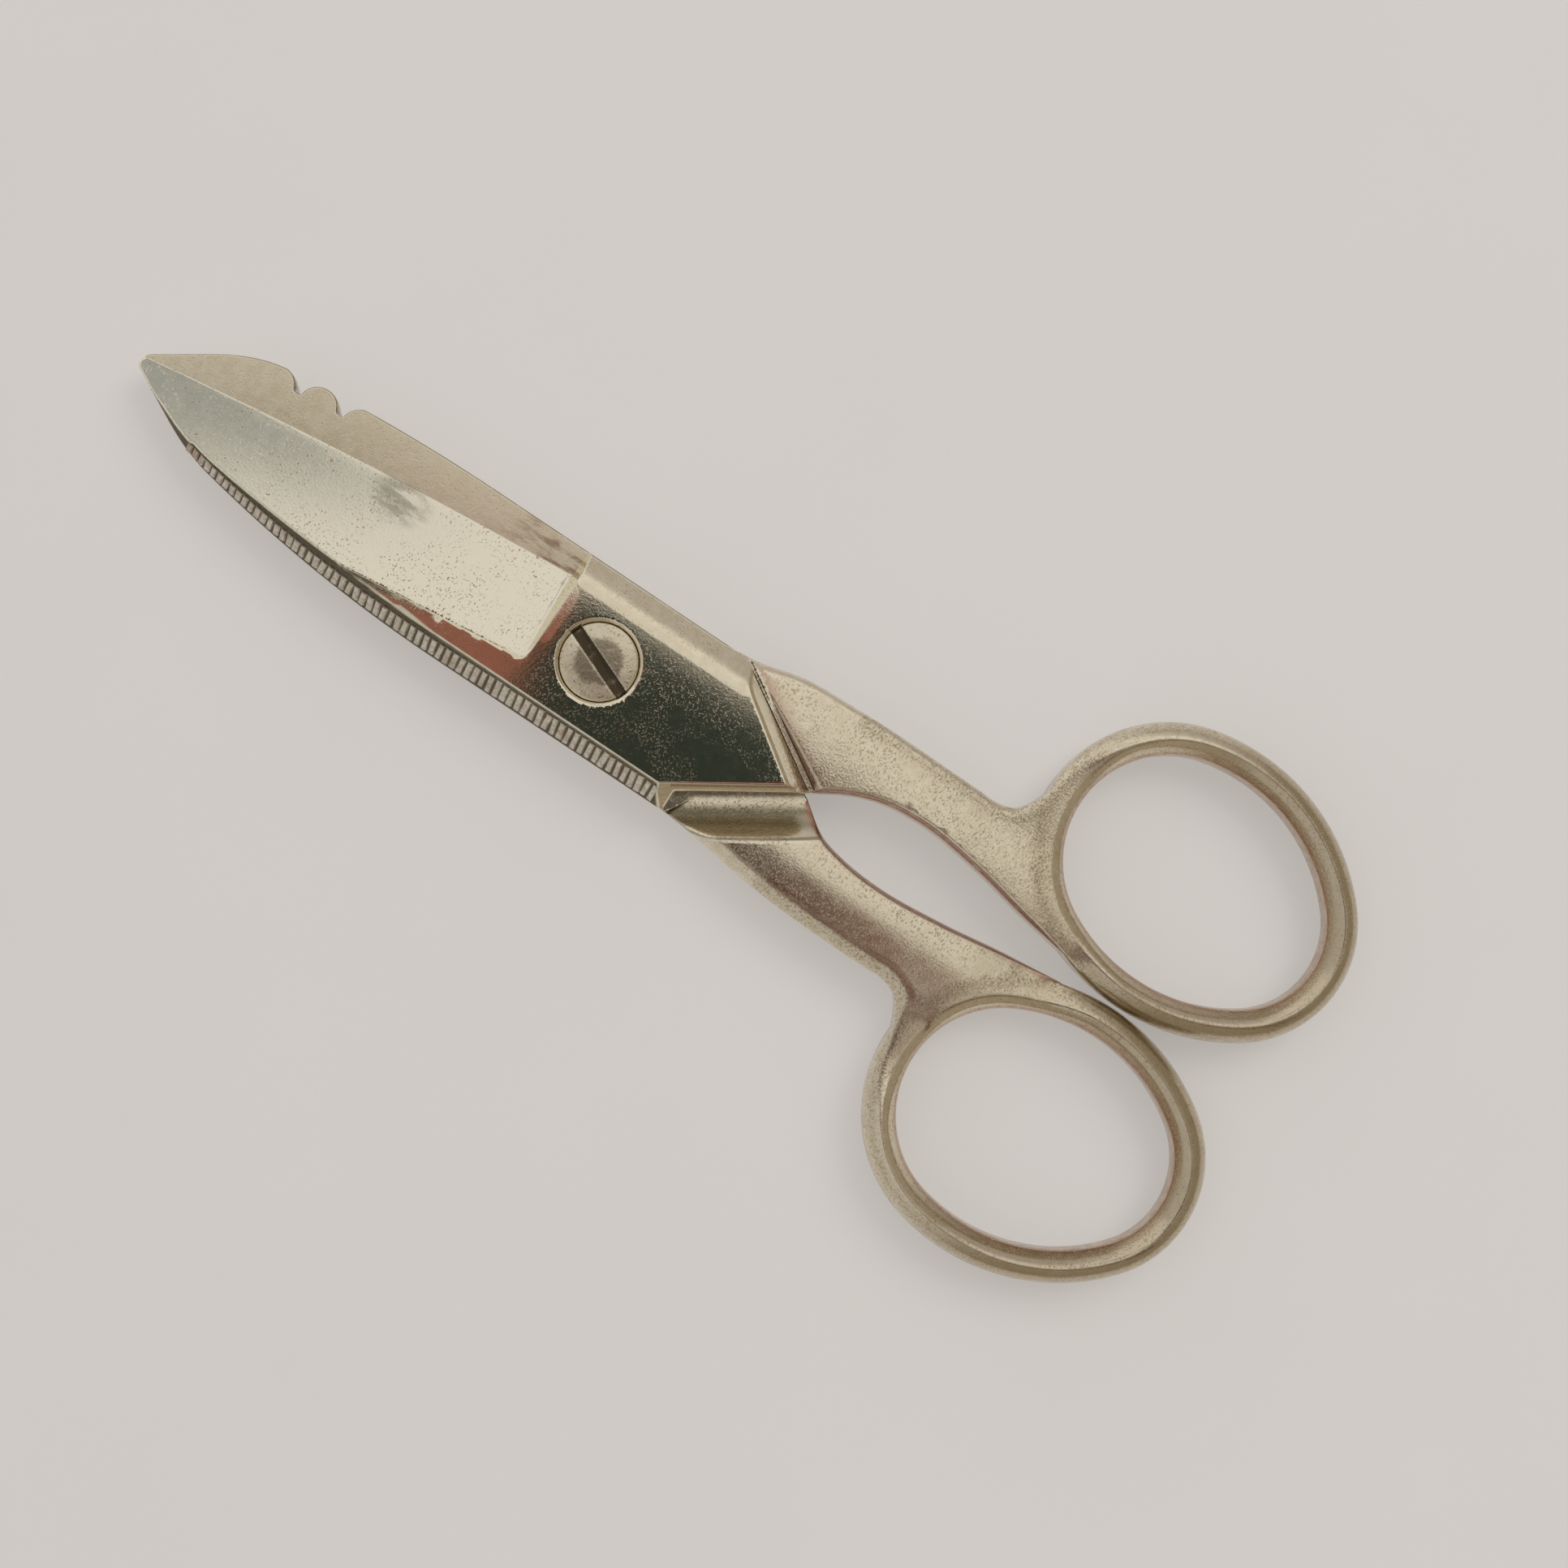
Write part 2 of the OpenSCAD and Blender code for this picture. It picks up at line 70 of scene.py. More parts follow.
# %% Sizes of the handle, its ring and the screw
HANDLE_T, OUT_Y, CHAMFER = 4.6, 10.5, 1.1
RAMP_L, GROOVE_W, FILLET = 4.3, 1.6, 3
RING_REACH, RING_HALF_L, NEAR_R, FAR_R, SIDE_R = 79.5, 16, 12.4, 10.4, 20
RING_TILT, RING_W, RING_T, RING_BEVEL, RING_LAND = radians(-7), 3.4, 5, 1.3, 1.6
RING_GAP, SHOULDER_GAP = 0.3, 0.3
HEAD_R, HEAD_T, HEAD_GAP, SLOT_W, SLOT_DEPTH, SLOT_TURN = 3.9, 1.6, 0.12, 1.1, 0.8, radians(-22)
BEARING_R, THREAD_R = 2.5, 2.0
FRONT = {"arc": (14, 150), "crotch": 0.9, "other": -0.3, "waist": 4.4, "taper": 15, "hole": 2.55,
         "crown": (-3.6, 22), "bow": 0.9}
REAR = {"arc": (18, 200), "crotch": -0.3, "other": 0.9, "waist": 3.1, "taper": 28, "hole": 2.02,
        "crown": (-6.8, 18), "bow": 2.0}
print("two halves of", PLATE_T, "mm, one screw with a head of", 2 * HEAD_R, "mm")

# %% [markdown]
# ## Outlines
# A half seen from above is one closed line, like the trimming line of the forging. It runs from the
# crotch between the handles along the plate's slanting end, the spine, the tip, the cutting edge, the
# plate's wall, round the finger ring and back. A Bezier curve could draw it by eye, but points worked out
# from the CAD sizes stay exactly on the solid.

# %% Smooth lines through a few points
def smooth_line(points, steps=10):
    """A line that passes through all the points without corners."""
    p = np.array(points, float)
    gaps = np.hypot(*np.diff(p, axis=0).T)[:, None]
    leans = np.diff(p, axis=0) / gaps
    middle = (leans[1:] * gaps[:-1] + leans[:-1] * gaps[1:]) / (gaps[:-1] + gaps[1:])
    heads = np.vstack([leans[:1], middle, leans[-1:]])
    t = np.linspace(0, 1, steps, endpoint=False)[:, None]
    runs = [a + (b - a) * t * t * (3 - 2 * t) + gap * t * (1 - t) * ((1 - t) * u - t * v)
            for a, b, gap, u, v in zip(p[:-1], p[1:], gaps, heads[:-1], heads[1:])]
    return np.vstack(runs + [p[-1:]])


def spaced(points, gap):
    """The same line with its points at even gaps."""
    p = np.array(points, float)
    way = np.concatenate([[0], np.cumsum(np.hypot(*np.diff(p, axis=0).T))])
    at = np.linspace(0, way[-1], max(2, int(np.ceil(way[-1] / gap)) + 1))
    return np.column_stack([np.interp(at, way, p[:, 0]), np.interp(at, way, p[:, 1])])


print("a smooth line through 3 points has", len(smooth_line([(0, 0), (1, 1), (2, 0)])), "points")


# %% Soft joins
def soft_min(a, b, blend):
    share = np.clip(0.5 + 0.5 * (b - a) / blend, 0, 1)
    return b * (1 - share) + a * share - blend * share * (1 - share)


def soft_max(a, b, blend):
    return -soft_min(-a, -b, blend)


print("a soft minimum of 1 and 1 is", float(soft_min(np.array(1.0), np.array(1.0), blend=0.2)))

# %% Spine, notches, tip and cutting edge
tip_c = np.array([BLADE_L - TIP_R, TIP_R - EDGE_TIP_Y])
edge_run = np.array([tip_c[0] - HEEL_X, EDGE_HEEL_Y - EDGE_TIP_Y])
edge_angle = atan2(edge_run[1], edge_run[0])
edge_r = hypot(*edge_run) ** 2 / (8 * EDGE_BOW) + EDGE_BOW / 2
edge_c = (np.array([(HEEL_X + tip_c[0]) / 2, -(EDGE_HEEL_Y + EDGE_TIP_Y) / 2])
          + (edge_r - EDGE_BOW) * np.array([-sin(edge_angle), cos(edge_angle)]))


def spine_y(x, arc):
    """Height of the spine's arc above the axis."""
    along = np.clip(np.asarray(x, float) - arc[0], 0, None)
    return SPINE_Y - arc[1] + np.sqrt(arc[1] ** 2 - along ** 2)


def tip_line(half):
    """Start and lean of the straight stretch from the spine's arc to the round tip."""
    start = np.array([BLADE_L - TIP_L, spine_y(BLADE_L - TIP_L, half["arc"])])
    run = tip_c - start
    return start, atan2(-run[1], run[0]) - asin(TIP_R / hypot(*run))


def spine_line(half):
    """The spine from the plate's corner to the tip and round it, without a corner between arc and tip."""
    start, lean = tip_line(half)
    turn = pi / 2 - lean - np.linspace(0, 1, 24) * (pi - lean)
    tip = tip_c + TIP_R * np.column_stack([np.cos(turn), np.sin(turn)])
    x = np.linspace(-CORNER_X - CORNER_LAP, tip[0, 0], 800)[:-1]
    y = soft_min(spine_y(x, half["arc"]), start[1] - (x - start[0]) * tan(lean), half["bow"])
    return np.vstack([np.column_stack([x, y]), tip])


def cut_notches(line, half):
    """The rear spine's two stripping notches, each between two round lobes."""
    x, y = line[:, 0], line[:, 1].copy()
    for i in (0, 1):
        middle = NOTCH_X + i * NOTCH_STEP
        floor = np.full_like(x, spine_y(middle, half["arc"]) - NOTCH_DEPTH)
        for lobe in (middle - NOTCH_STEP / 2, middle + NOTCH_STEP / 2):
            rise = LOBE_R ** 2 - (x - lobe) ** 2
            top = spine_y(lobe, half["arc"]) - LOBE_R + np.sqrt(np.clip(rise, 0, None))
            floor = np.maximum(floor, np.where(rise > 0, top, -99))
        inside = (abs(x - middle) < NOTCH_STEP / 2) & (y > 4)
        y[inside] = np.minimum(y, floor)[inside]
    return np.column_stack([x, y])


print("cutting edge: bowed to a radius of", round(edge_r), "mm")

# %% The finger ring: an egg of four arcs
ring_e = RING_HALF_L - (NEAR_R + FAR_R) / 2
ring_sx = (NEAR_R - FAR_R) * (2 * SIDE_R - NEAR_R - FAR_R) / (4 * ring_e)
ring_sy = sqrt((SIDE_R - NEAR_R) ** 2 - (ring_e - ring_sx) ** 2)
near_turn, far_turn = atan2(ring_sy, ring_e - ring_sx), atan2(ring_sy, ring_e + ring_sx)
ring_c = np.array([
    RING_W / 2 + FAR_R + ring_e * cos(RING_TILT) - RING_REACH,
    ring_sy * cos(RING_TILT) - ring_sx * sin(RING_TILT) - SIDE_R - RING_W / 2 - RING_GAP / 2])
ring_turn = np.array([[cos(RING_TILT), sin(RING_TILT)], [-sin(RING_TILT), cos(RING_TILT)]])


def ring_line(offset, turns):
    """Points at an offset from the middle of the ring's section, at these turns round it."""
    out = []
    for a in np.mod(turns, 2 * pi):
        if a < near_turn or a > 2 * pi - near_turn:
            c, r = (ring_e, 0), NEAR_R
        elif abs(a - pi) < far_turn:
            c, r = (-ring_e, 0), FAR_R
        else:
            c, r = (ring_sx, -np.sign(sin(a)) * ring_sy), SIDE_R
        out.append((c[0] + (r + offset) * cos(a), c[1] + (r + offset) * sin(a)))
    return ring_c + np.array(out) @ ring_turn


def ring_gap(x, y):
    """Distance outwards from the middle of the ring's section."""
    u, v = ring_turn @ np.vstack([x - ring_c[0], y - ring_c[1]])
    v = abs(v)
    side = np.arctan2(u - ring_sx, v + ring_sy)
    near = side > atan2(ring_e - ring_sx, ring_sy)
    far = side < -atan2(ring_e + ring_sx, ring_sy)
    gap = np.hypot(u - ring_sx, v + ring_sy) - SIDE_R
    gap = np.where(near, np.hypot(u - ring_e, v) - NEAR_R, gap)
    return np.where(far, np.hypot(u + ring_e, v) - FAR_R, gap)


print("ring: its middle at", ring_c.round(1), "mm")

# %% The shank's two edges and the whole outline
handle_l = -CROTCH_X - ring_c[0]
rim_x = ring_c[0] + ring_e + NEAR_R + RING_W / 2
INNER_SHARES = [(0.09, 0.66), (0.17, 0.9), (0.27, 1), (0.46, 0.84), (0.64, 0.53), (0.83, 0.28)]
FILLET_SHARES = [(-1, -2), (-0.1, -1.3), (0.2, -0.7), (0.55, -0.22), (1.1, 0), (1.9, 0)]
TAPER_SHARES = [(1, 0), (0.52, 0.25), (0.28, 0.7), (0, 1)]
TAPER_END, OUTLINE_GAP = 0.75, 0.22
taper_end = -TAPER_END * CORNER_X
fillet_end = rim_x + FILLET * FILLET_SHARES[-1][0]


def shank_edges(half):
    """The inner edge from the crotch to the ring, and the outer edge from the ring to the plate's wall."""
    inner = [(-CROTCH_X, -half["crotch"])]
    inner += [(-CROTCH_X - a * handle_l, -b * half["waist"]) for a, b in INNER_SHARES]
    taper = np.array([(taper_end - a * half["taper"], b * (OUT_Y - WALL_Y) - OUT_Y) for a, b in TAPER_SHARES])
    corner = np.array(FILLET_SHARES) * FILLET + (rim_x, 0)
    corner[:, 1] += np.interp(corner[:, 0], *taper.T)
    outer = np.vstack([corner, taper[taper[:, 0] > fillet_end]])
    return smooth_line(inner), smooth_line(outer)


def turn_of(point):
    """The turn round the ring at which its outside passes nearest to a point."""
    turns = np.linspace(0, 2 * pi, 3600, endpoint=False)
    return turns[np.argmin(np.hypot(*(ring_line(RING_W / 2, turns) - point).T))]


def end_angle(half):
    """Direction of the plate's slanting end, from the crotch to its corner."""
    return atan2(SPINE_Y - BEVEL_W + half["crotch"], CROTCH_X - CORNER_X)


def outline(half):
    """One half seen from above, as a closed line."""
    inner, outer = shank_edges(half)
    inner = inner[ring_gap(*inner.T) > RING_W / 2]
    outer = outer[ring_gap(*outer.T) > RING_W / 2]
    last, first = turn_of(inner[-1]), turn_of(outer[0])
    first = first - 2 * pi if first > pi else first
    round_ring = ring_line(RING_W / 2, np.linspace(first, last - 2 * pi, 500)[1:-1])
    end_y = -half["crotch"] + (CROTCH_X - CORNER_X - CORNER_LAP) * tan(end_angle(half))
    spine = spine_line(half)
    if half is REAR:
        spine = cut_notches(spine, half)
    edge_x = np.linspace(tip_c[0], HEEL_X, 60)[1:]
    edge = np.column_stack([edge_x, edge_c[1] - np.sqrt(edge_r ** 2 - (edge_x - edge_c[0]) ** 2)])
    line = np.vstack([inner[:1], [[-CORNER_X - CORNER_LAP, end_y]], spine, edge, [[HEEL_X, -WALL_Y]],
                      outer[::-1], round_ring, inner[::-1]])
    return spaced(line, OUTLINE_GAP)[:-1]


for name, half in (("front", FRONT), ("rear", REAR)):
    half["line"] = outline(half)
    print(name, "half: outline of", len(half["line"]), "points")


# %% [markdown]
# ## The forged shape, as heights
# Everything on a half faces either outwards or inwards, so two height maps over the outline hold the
# whole form: the outer face and the inner face. Each slope is a plane or a round of its own, and a soft
# minimum or maximum joins them. That leaves the rolled creases of a forging, which a hard boolean cut
# never has.

# %% The distance from a line
def side_of(x, y, line):
    """Distance from a line of points, positive on its left."""
    best = np.full(len(x), np.inf)
    side = np.zeros(len(x))
    for start, step in zip(line[:-1], np.diff(line, axis=0)):
        dx, dy = x - start[0], y - start[1]
        t = np.clip((dx * step[0] + dy * step[1]) / (step @ step), 0, 1)
        gap = (dx - t * step[0]) ** 2 + (dy - t * step[1]) ** 2
        near = gap < best
        best[near] = gap[near]
        side[near] = (step[0] * dy - step[1] * dx)[near]
    return np.sqrt(best) * np.sign(side)


def from_line(x, y, start, angle):
    """Way along a straight line from its start, and distance to the left of it."""
    dx, dy = x - start[0], y - start[1]
    return dx * cos(angle) + dy * sin(angle), dy * cos(angle) - dx * sin(angle)


print("left of the X axis by", from_line(0.0, 1.0, (0, 0), 0)[1], "mm")

# %% Blade and plate
ground_slope = (PLATE_T - EDGE_T) / GROUND_W
FILE_RUNOUT, END_DROP = 0.4, 0.8 * END_BEVEL


def spine_gap(x, y, half):
    """Distance inwards from the spine's arc."""
    ax, ar = half["arc"]
    start, lean = tip_line(half)
    arc = np.where(x < ax, SPINE_Y - y, ar - np.hypot(x - ax, y - SPINE_Y + ar))
    return soft_min(arc, -from_line(x, y, start, -lean)[1], blend=0.8)


def plate_parts(x, y, half):
    """Heights of the ground hollow, the spine's bevel and the rest of the plate."""
    bevel = SPINE_LAND + BEVEL_SLOPE * spine_gap(x, y, half)
    if half is FRONT:
        cut = np.clip((x - FILE_BACK) / FILE_RUNOUT, 0, 1) * np.clip((FILE_END - x) / FILE_RUNOUT, 0, 1)
        bevel = bevel - TOOTH_H * hypot(1, BEVEL_SLOPE) * cut
    up = from_line(x, y, (HEEL_X, -EDGE_HEEL_Y), edge_angle)[1]
    ground = EDGE_T + ground_slope * up - HOLLOW * np.clip(4 * up * (GROUND_W - up) / GROUND_W ** 2, 0, 1)
    heel = EDGE_T + (HEEL_X - x) / tan(HEEL_LEAN)
    hollow = soft_max(ground, heel, blend=1.2)
    wall = PLATE_T - WALL_DROP + (y + WALL_Y) * WALL_DROP / WALL_W
    beyond = from_line(x, y, (-CROTCH_X, -half["crotch"]), end_angle(half))[1]
    end = np.maximum(PLATE_T - END_DROP - beyond, SPINE_LAND)
    flat = soft_min(soft_min(np.full_like(x, PLATE_T), wall, blend=0.45), end, blend=0.4)
    return hollow, bevel, flat


print("ground face: falls", round(ground_slope, 2), "mm a millimetre")

# %% Shank and ring
crest = RING_BEVEL - RING_W / 2
round_c = (RING_W ** 2 / 4 - crest ** 2 - RING_T ** 2 / 4) / (RING_W - 2 * crest)
round_r = RING_W / 2 - round_c
CROWN_REACH, CROWN_FALL, CHAMFER_RUN, SINK, SINK_L = 12, 0.55, 1.4, 0.03, 5
LIP_DROP, LIP_SLOPE, JOIN_L, JOIN_FROM, RING_LIFT = 1.2, 2.2, 7, 2.4, 0.1


def handle_rise(x, y, half):
    """Half thickness of the handle: a crowned shank that flows into a round ring, bevelled inside."""
    inner, outer = half["edges"]
    gap = ring_gap(x, y)
    in_ring = RING_W / 2 - gap
    at_inner, at_outer = side_of(x, y, inner), side_of(x, y, outer)
    crown_y, crown_r = half["crown"]
    crown = HANDLE_T / 2 - crown_r + np.sqrt(crown_r ** 2 - np.clip(abs(y - crown_y), 0, CROWN_REACH) ** 2)
    crown = soft_max(crown, np.full_like(x, HANDLE_T / 2 - CROWN_FALL), blend=0.4)
    crown = crown - SINK * np.clip(rim_x - FILLET - x, 0, SINK_L)
    rim = np.clip(1 - soft_max(at_outer, in_ring, blend=2) / (CHAMFER_RUN * CHAMFER), 0, None)
    shank = soft_min(crown, HANDLE_T / 2 - CHAMFER * rim ** 2, blend=0.5)
    lip = LIP_SLOPE * soft_max(at_inner, in_ring, blend=1.5)
    shank = soft_min(shank, HANDLE_T / 2 - LIP_DROP + lip, blend=0.35)
    bend = (gap - round_c) / round_r
    ring = round_r * np.sqrt(np.clip(1 - bend ** 2, 0.02, 1))
    near = np.clip(1 + soft_min(at_inner, at_outer, blend=1) / JOIN_L, 0, 1)
    near = np.minimum(near, np.clip((x - rim_x) / JOIN_L + JOIN_FROM, 0, 1))
    near = near * near * (3 - 2 * near)
    bevel = RING_LAND / 2 + (gap + RING_W / 2) * (RING_T - RING_LAND) / 2 / RING_BEVEL
    return soft_min(ring * (1 - near) + shank * near, bevel, blend=0.8) + RING_LIFT * (1 - near)


print("ring: outside of its section rounded to", round(round_r, 2), "mm")

# %% The two faces of a half
ramp_r = (RAMP_L ** 2 + HANDLE_T ** 2 / 4) / HANDLE_T
swing_r = hypot(CORNER_X + CORNER_LAP, SPINE_Y) + SHOULDER_GAP
groove_end = (-CORNER_X, -WALL_Y)
GROOVE_BANK, GROOVE_SHIFT, GROOVE_BED, COUNTERSINK = 0.6, 0.1, 0.3, 0.25
RAMP_SPAN, RAMP_FALL, SWING_SLOPE = 0.98, 4, 2


def outer_face(x, y, half):
    """Height of the face that lies outside."""
    hollow, bevel, flat = plate_parts(x, y, half)
    start = (-CROTCH_X, -half["crotch"])
    groove_angle = atan2(groove_end[1] - start[1], groove_end[0] - start[0])
    along, left = from_line(x, y, start, groove_angle)
    plate = soft_min(soft_min(flat, hollow, blend=0.05), bevel, blend=0.15)
    plate = soft_min(plate, PLATE_T - GROOVE_BANK + left, blend=0.45)
    shank = MID_Z + handle_rise(x, y, half)
    length = hypot(groove_end[0] - start[0], groove_end[1] - start[1])
    depth = GROOVE_W / 2 * np.clip(1 - along / length, 0, 1)
    face = np.where(left > 0, plate, shank)
    bank = np.clip(abs(left + GROOVE_SHIFT) - GROOVE_BED, 0, None)
    face = soft_min(face, MID_Z + HANDLE_T / 2 - depth + bank, blend=0.2)
    if half is FRONT:
        r = np.hypot(x, y)
        face = np.minimum(face, PLATE_T - np.clip(HEAD_R + HEAD_GAP + COUNTERSINK - r, 0, None))
        face = np.where(r < HEAD_R + HEAD_GAP, PLATE_T - HEAD_T - HEAD_GAP, face)
    return face


def ramp_way(x, y, half):
    """Distance from the start of the ramp, negative on it."""
    angle = -end_angle({"crotch": half["other"]})
    return from_line(x, y, (-CROTCH_X, half["other"]), angle)[1] + SHOULDER_GAP


def inner_face(x, y, half):
    """Height of the face that lies against the other half: flat, then the hollow ramp to the shank."""
    past = ramp_way(x, y, half)
    ramp = np.sqrt(np.clip(ramp_r ** 2 - np.clip(past, None, 0) ** 2, 0, None)) - ramp_r
    ramp = ramp - RAMP_FALL * np.clip(-past - RAMP_SPAN * ramp_r, 0, None)
    face = soft_max(MID_Z - handle_rise(x, y, half), ramp, blend=0.8)
    swing = np.hypot(x, y) - swing_r
    face = np.maximum(face, -SWING_SLOPE * np.clip(swing, 0, None))
    return np.where((past > 0) | (swing < 0), 0, np.minimum(face, 0))


for half in (FRONT, REAR):
    half["edges"] = shank_edges(half)
here = np.array([0.0, 30.0, -35.0]), np.array([6.0, 0.0, -7.0])
print("outer face at plate, ground face and shank:", outer_face(*here, FRONT).round(2), "mm")

# %% [markdown]
# ## From heights to a mesh
# A plain grid would either be far too heavy or lose the creases. Here square cells are split in four only
# where the face bends, their corners and the outline go through a Delaunay triangulation, and the rim gets
# a few close rows that roll over the edge, because no edge on a handled tool is truly sharp.

# %% Which points lie inside, and how far from the rim
def inside(points, loops):
    """True for points inside the outline and outside its holes."""
    x, y = points.T
    odd = np.zeros(len(points), bool)
    for loop in loops:
        for a, b in zip(loop, np.roll(loop, -1, axis=0)):
            if a[1] != b[1]:
                crosses = (a[1] > y) != (b[1] > y)
                odd ^= crosses & (x < (b[0] - a[0]) * (y - a[1]) / (b[1] - a[1]) + a[0])
    return odd


def rim_gap(points, rim):
    """Distance from each point to the nearest point of the rim."""
    tree = kdtree.KDTree(len(rim))
    for i, p in enumerate(rim):
        tree.insert((p[0], p[1], 0), i)
    tree.balance()
    return np.array([tree.find((p[0], p[1], 0))[2] for p in points])


print("pivot inside the front outline:", bool(inside(np.zeros((1, 2)), [FRONT["line"]])[0]))

# %% Cells that get smaller where the face bends
CELL = np.array([(0, 0), (1, 0), (0, 1), (1, 1), (0.5, 0.5), (0.5, 0), (0.5, 1), (0, 0.5), (1, 0.5)])
FIRST_CELL, MARGIN, RIM_REACH = 1.0, 0.5, 0.9


def cell_corners(height, loops, tolerance, smallest=0.13):
    """Corners of square cells that are split in four until the face is nearly straight on each."""
    rim = np.vstack(loops)
    low, high = rim.min(0) - MARGIN, rim.max(0) + MARGIN
    size, corners = FIRST_CELL, []
    across, up = np.meshgrid(np.arange(low[0], high[0], size), np.arange(low[1], high[1], size))
    cells = np.column_stack([across.ravel(), up.ravel()])
    middles = cells + size / 2
    cells = cells[inside(middles, loops) | (rim_gap(middles, rim) < RIM_REACH)]
    while len(cells):
        spots = cells[:, None] + size * CELL
        h = height(spots[..., 0].ravel(), spots[..., 1].ravel()).reshape(len(cells), 9)
        straight = np.column_stack([h[:, :4].mean(1), h[:, [0, 1]].mean(1), h[:, [2, 3]].mean(1),
                                    h[:, [0, 2]].mean(1), h[:, [1, 3]].mean(1)])
        split = (abs(h[:, 4:] - straight).max(1) > tolerance) & (size > smallest)
        corners.append(spots[~split][:, :4].reshape(-1, 2))
        cells = spots[split][:, [0, 5, 7, 4]].reshape(-1, 2)
        size /= 2
    return np.unique(np.vstack(corners).round(5), axis=0)


print("cells start", FIRST_CELL, "mm wide")

# %% One face: outline, rolled rim and cells, as triangles
ROLL_R = 0.16
ROLL_ROWS = (0.02, 0.06, 0.11, 0.16, 0.22)
FROM_RIM, FROM_ROW, INLAND = 0.31, 0.09, 9.0


def inset(loop, gap):
    """The loop moved to both sides by a gap."""
    run = np.roll(loop, -1, axis=0) - np.roll(loop, 1, axis=0)
    left = np.column_stack([-run[:, 1], run[:, 0]]) / np.hypot(*run.T)[:, None]
    return np.vstack([loop + gap * left, loop - gap * left])


def triangulate(height, loops, rows, tolerance):
    """Points, triangles and each point's distance from the rim; the rim's points come first."""
    rim = np.vstack(loops)
    groups, gaps = [rim], [np.zeros(len(rim))]
    for gap in ROLL_ROWS:
        line = np.vstack([inset(loop, gap) for loop in loops])
        line = line[inside(line, loops) & (rim_gap(line, rim) > 0.9 * gap)]
        groups.append(line)
        gaps.append(np.full(len(line), gap))
    cells = cell_corners(height, loops, tolerance)
    keep = inside(cells, loops) & (rim_gap(cells, rim) > FROM_RIM)
    for row in rows:
        row = row[inside(row, loops)]
        keep &= rim_gap(cells, row) > FROM_ROW
        groups.append(row)
        gaps.append(np.full(len(row), INLAND))
    groups.append(cells[keep])
    gaps.append(np.full(keep.sum(), INLAND))
    points, gaps = np.vstack(groups), np.concatenate(gaps)
    edges, first = [], 0
    for loop in loops:
        n = len(loop)
        edges += [(first + i, first + (i + 1) % n) for i in range(n)]
        first += n
    found = geometry.delaunay_2d_cdt([Vector(p) for p in points], edges, [], 1, 1e-6)
    origin = [ids[0] for ids in found[3]]
    triangles = np.array([[origin[i] for i in f] for f in found[2]])
    return points, triangles[inside(points[triangles].mean(1), loops)], gaps


print("rims roll over", ROLL_R, "mm")

# %% Turn a mesh into a clean object
import bmesh


def finish_mesh(name, mesh):
    """Normals out, smooth shading, and the object at the origin."""
    work = bmesh.new()
    work.from_mesh(mesh)
    bmesh.ops.delete(work, geom=[v for v in work.verts if not v.link_faces], context="VERTS")
    bmesh.ops.recalc_face_normals(work, faces=work.faces)
    if work.calc_volume(signed=True) < 0:
        bmesh.ops.reverse_faces(work, faces=work.faces)
    open_edges = sum(not e.is_manifold for e in work.edges)
    work.to_mesh(mesh)
    work.free()
    mesh.shade_smooth()
    piece = bpy.data.objects.new(name, mesh)
    bpy.context.scene.collection.objects.link(piece)
    print(name, len(mesh.polygons), "faces,", open_edges, "open edges")
    return piece


# %% Two faces and the walls between them make a piece
ROLL_SHARE, FULL_BEND = 0.42, 5


def curvature(height, x, y, reach=0.16):
    """How hollow (positive) or ridged (negative) a height map is, per millimetre."""
    around = (height(x + reach, y) + height(x - reach, y) + height(x, y + reach) + height(x, y - reach))
    return (around - 4 * height(x, y)) / reach ** 2


def solid(name, loops, top, bottom, place, marks, rows=((), ()), tolerance=0.006):
    """A closed mesh from an outer and an inner height map, with its marks kept as vertex attributes."""
    rim_n = sum(len(loop) for loop in loops)
    rim = np.vstack(loops)
    roll = np.minimum(ROLL_R, ROLL_SHARE * (top(*rim.T) - bottom(*rim.T)))
    tree = kdtree.KDTree(rim_n)
    for i, p in enumerate(rim):
        tree.insert((p[0], p[1], 0), i)
    tree.balance()
    verts, faces, values = [], [], {}
    for face, (height, sign) in enumerate(((top, 1), (bottom, -1))):
        points, triangles, gaps = triangulate(height, loops, rows[face], tolerance)
        x, y = points.T
        z = height(x, y)
        near = gaps < INLAND
        part = np.clip(1 - gaps[near] / ROLL_R, 0, 1)
        nearest = [tree.find((p[0], p[1], 0))[1] for p in points[near]]
        z[near] -= sign * roll[nearest] * (1 - np.sqrt(1 - part ** 2))
        bend = sign * curvature(height, x, y)
        mark = {"grime": np.clip(bend / FULL_BEND, 0, 1), "worn": np.clip(-bend / FULL_BEND, 0, 1),
                **marks(x, y, sign)}
        mark["worn"][near] = np.maximum(mark["worn"][near], part ** 0.5)
        mark["grime"][near] = 0
        start = len(verts)
        verts += list(np.column_stack([x, y, z]))
        order = triangles if sign > 0 else triangles[:, ::-1]
        faces += (order + start).tolist()
        for key, value in mark.items():
            values.setdefault(key, []).append(value)
        second = start
    first = 0
    for loop in loops:
        n = len(loop)
        for i in range(n):
            a, b = first + i, first + (i + 1) % n
            faces.append([a, b, b + second, a + second])
        first += n
    mesh = bpy.data.meshes.new(name)
    mesh.from_pydata((place(np.array(verts)) * MM).tolist(), [], faces)
    for key, parts in values.items():
        layer = mesh.attributes.new(key, "FLOAT", "POINT")
        layer.data.foreach_set("value", np.concatenate(parts).astype(np.float32))
    return finish_mesh(name, mesh)


print("a bowl of 1 mm radius bends by", round(curvature(lambda x, y: (x * x + y * y) / 2, 0.0, 0.0), 2))

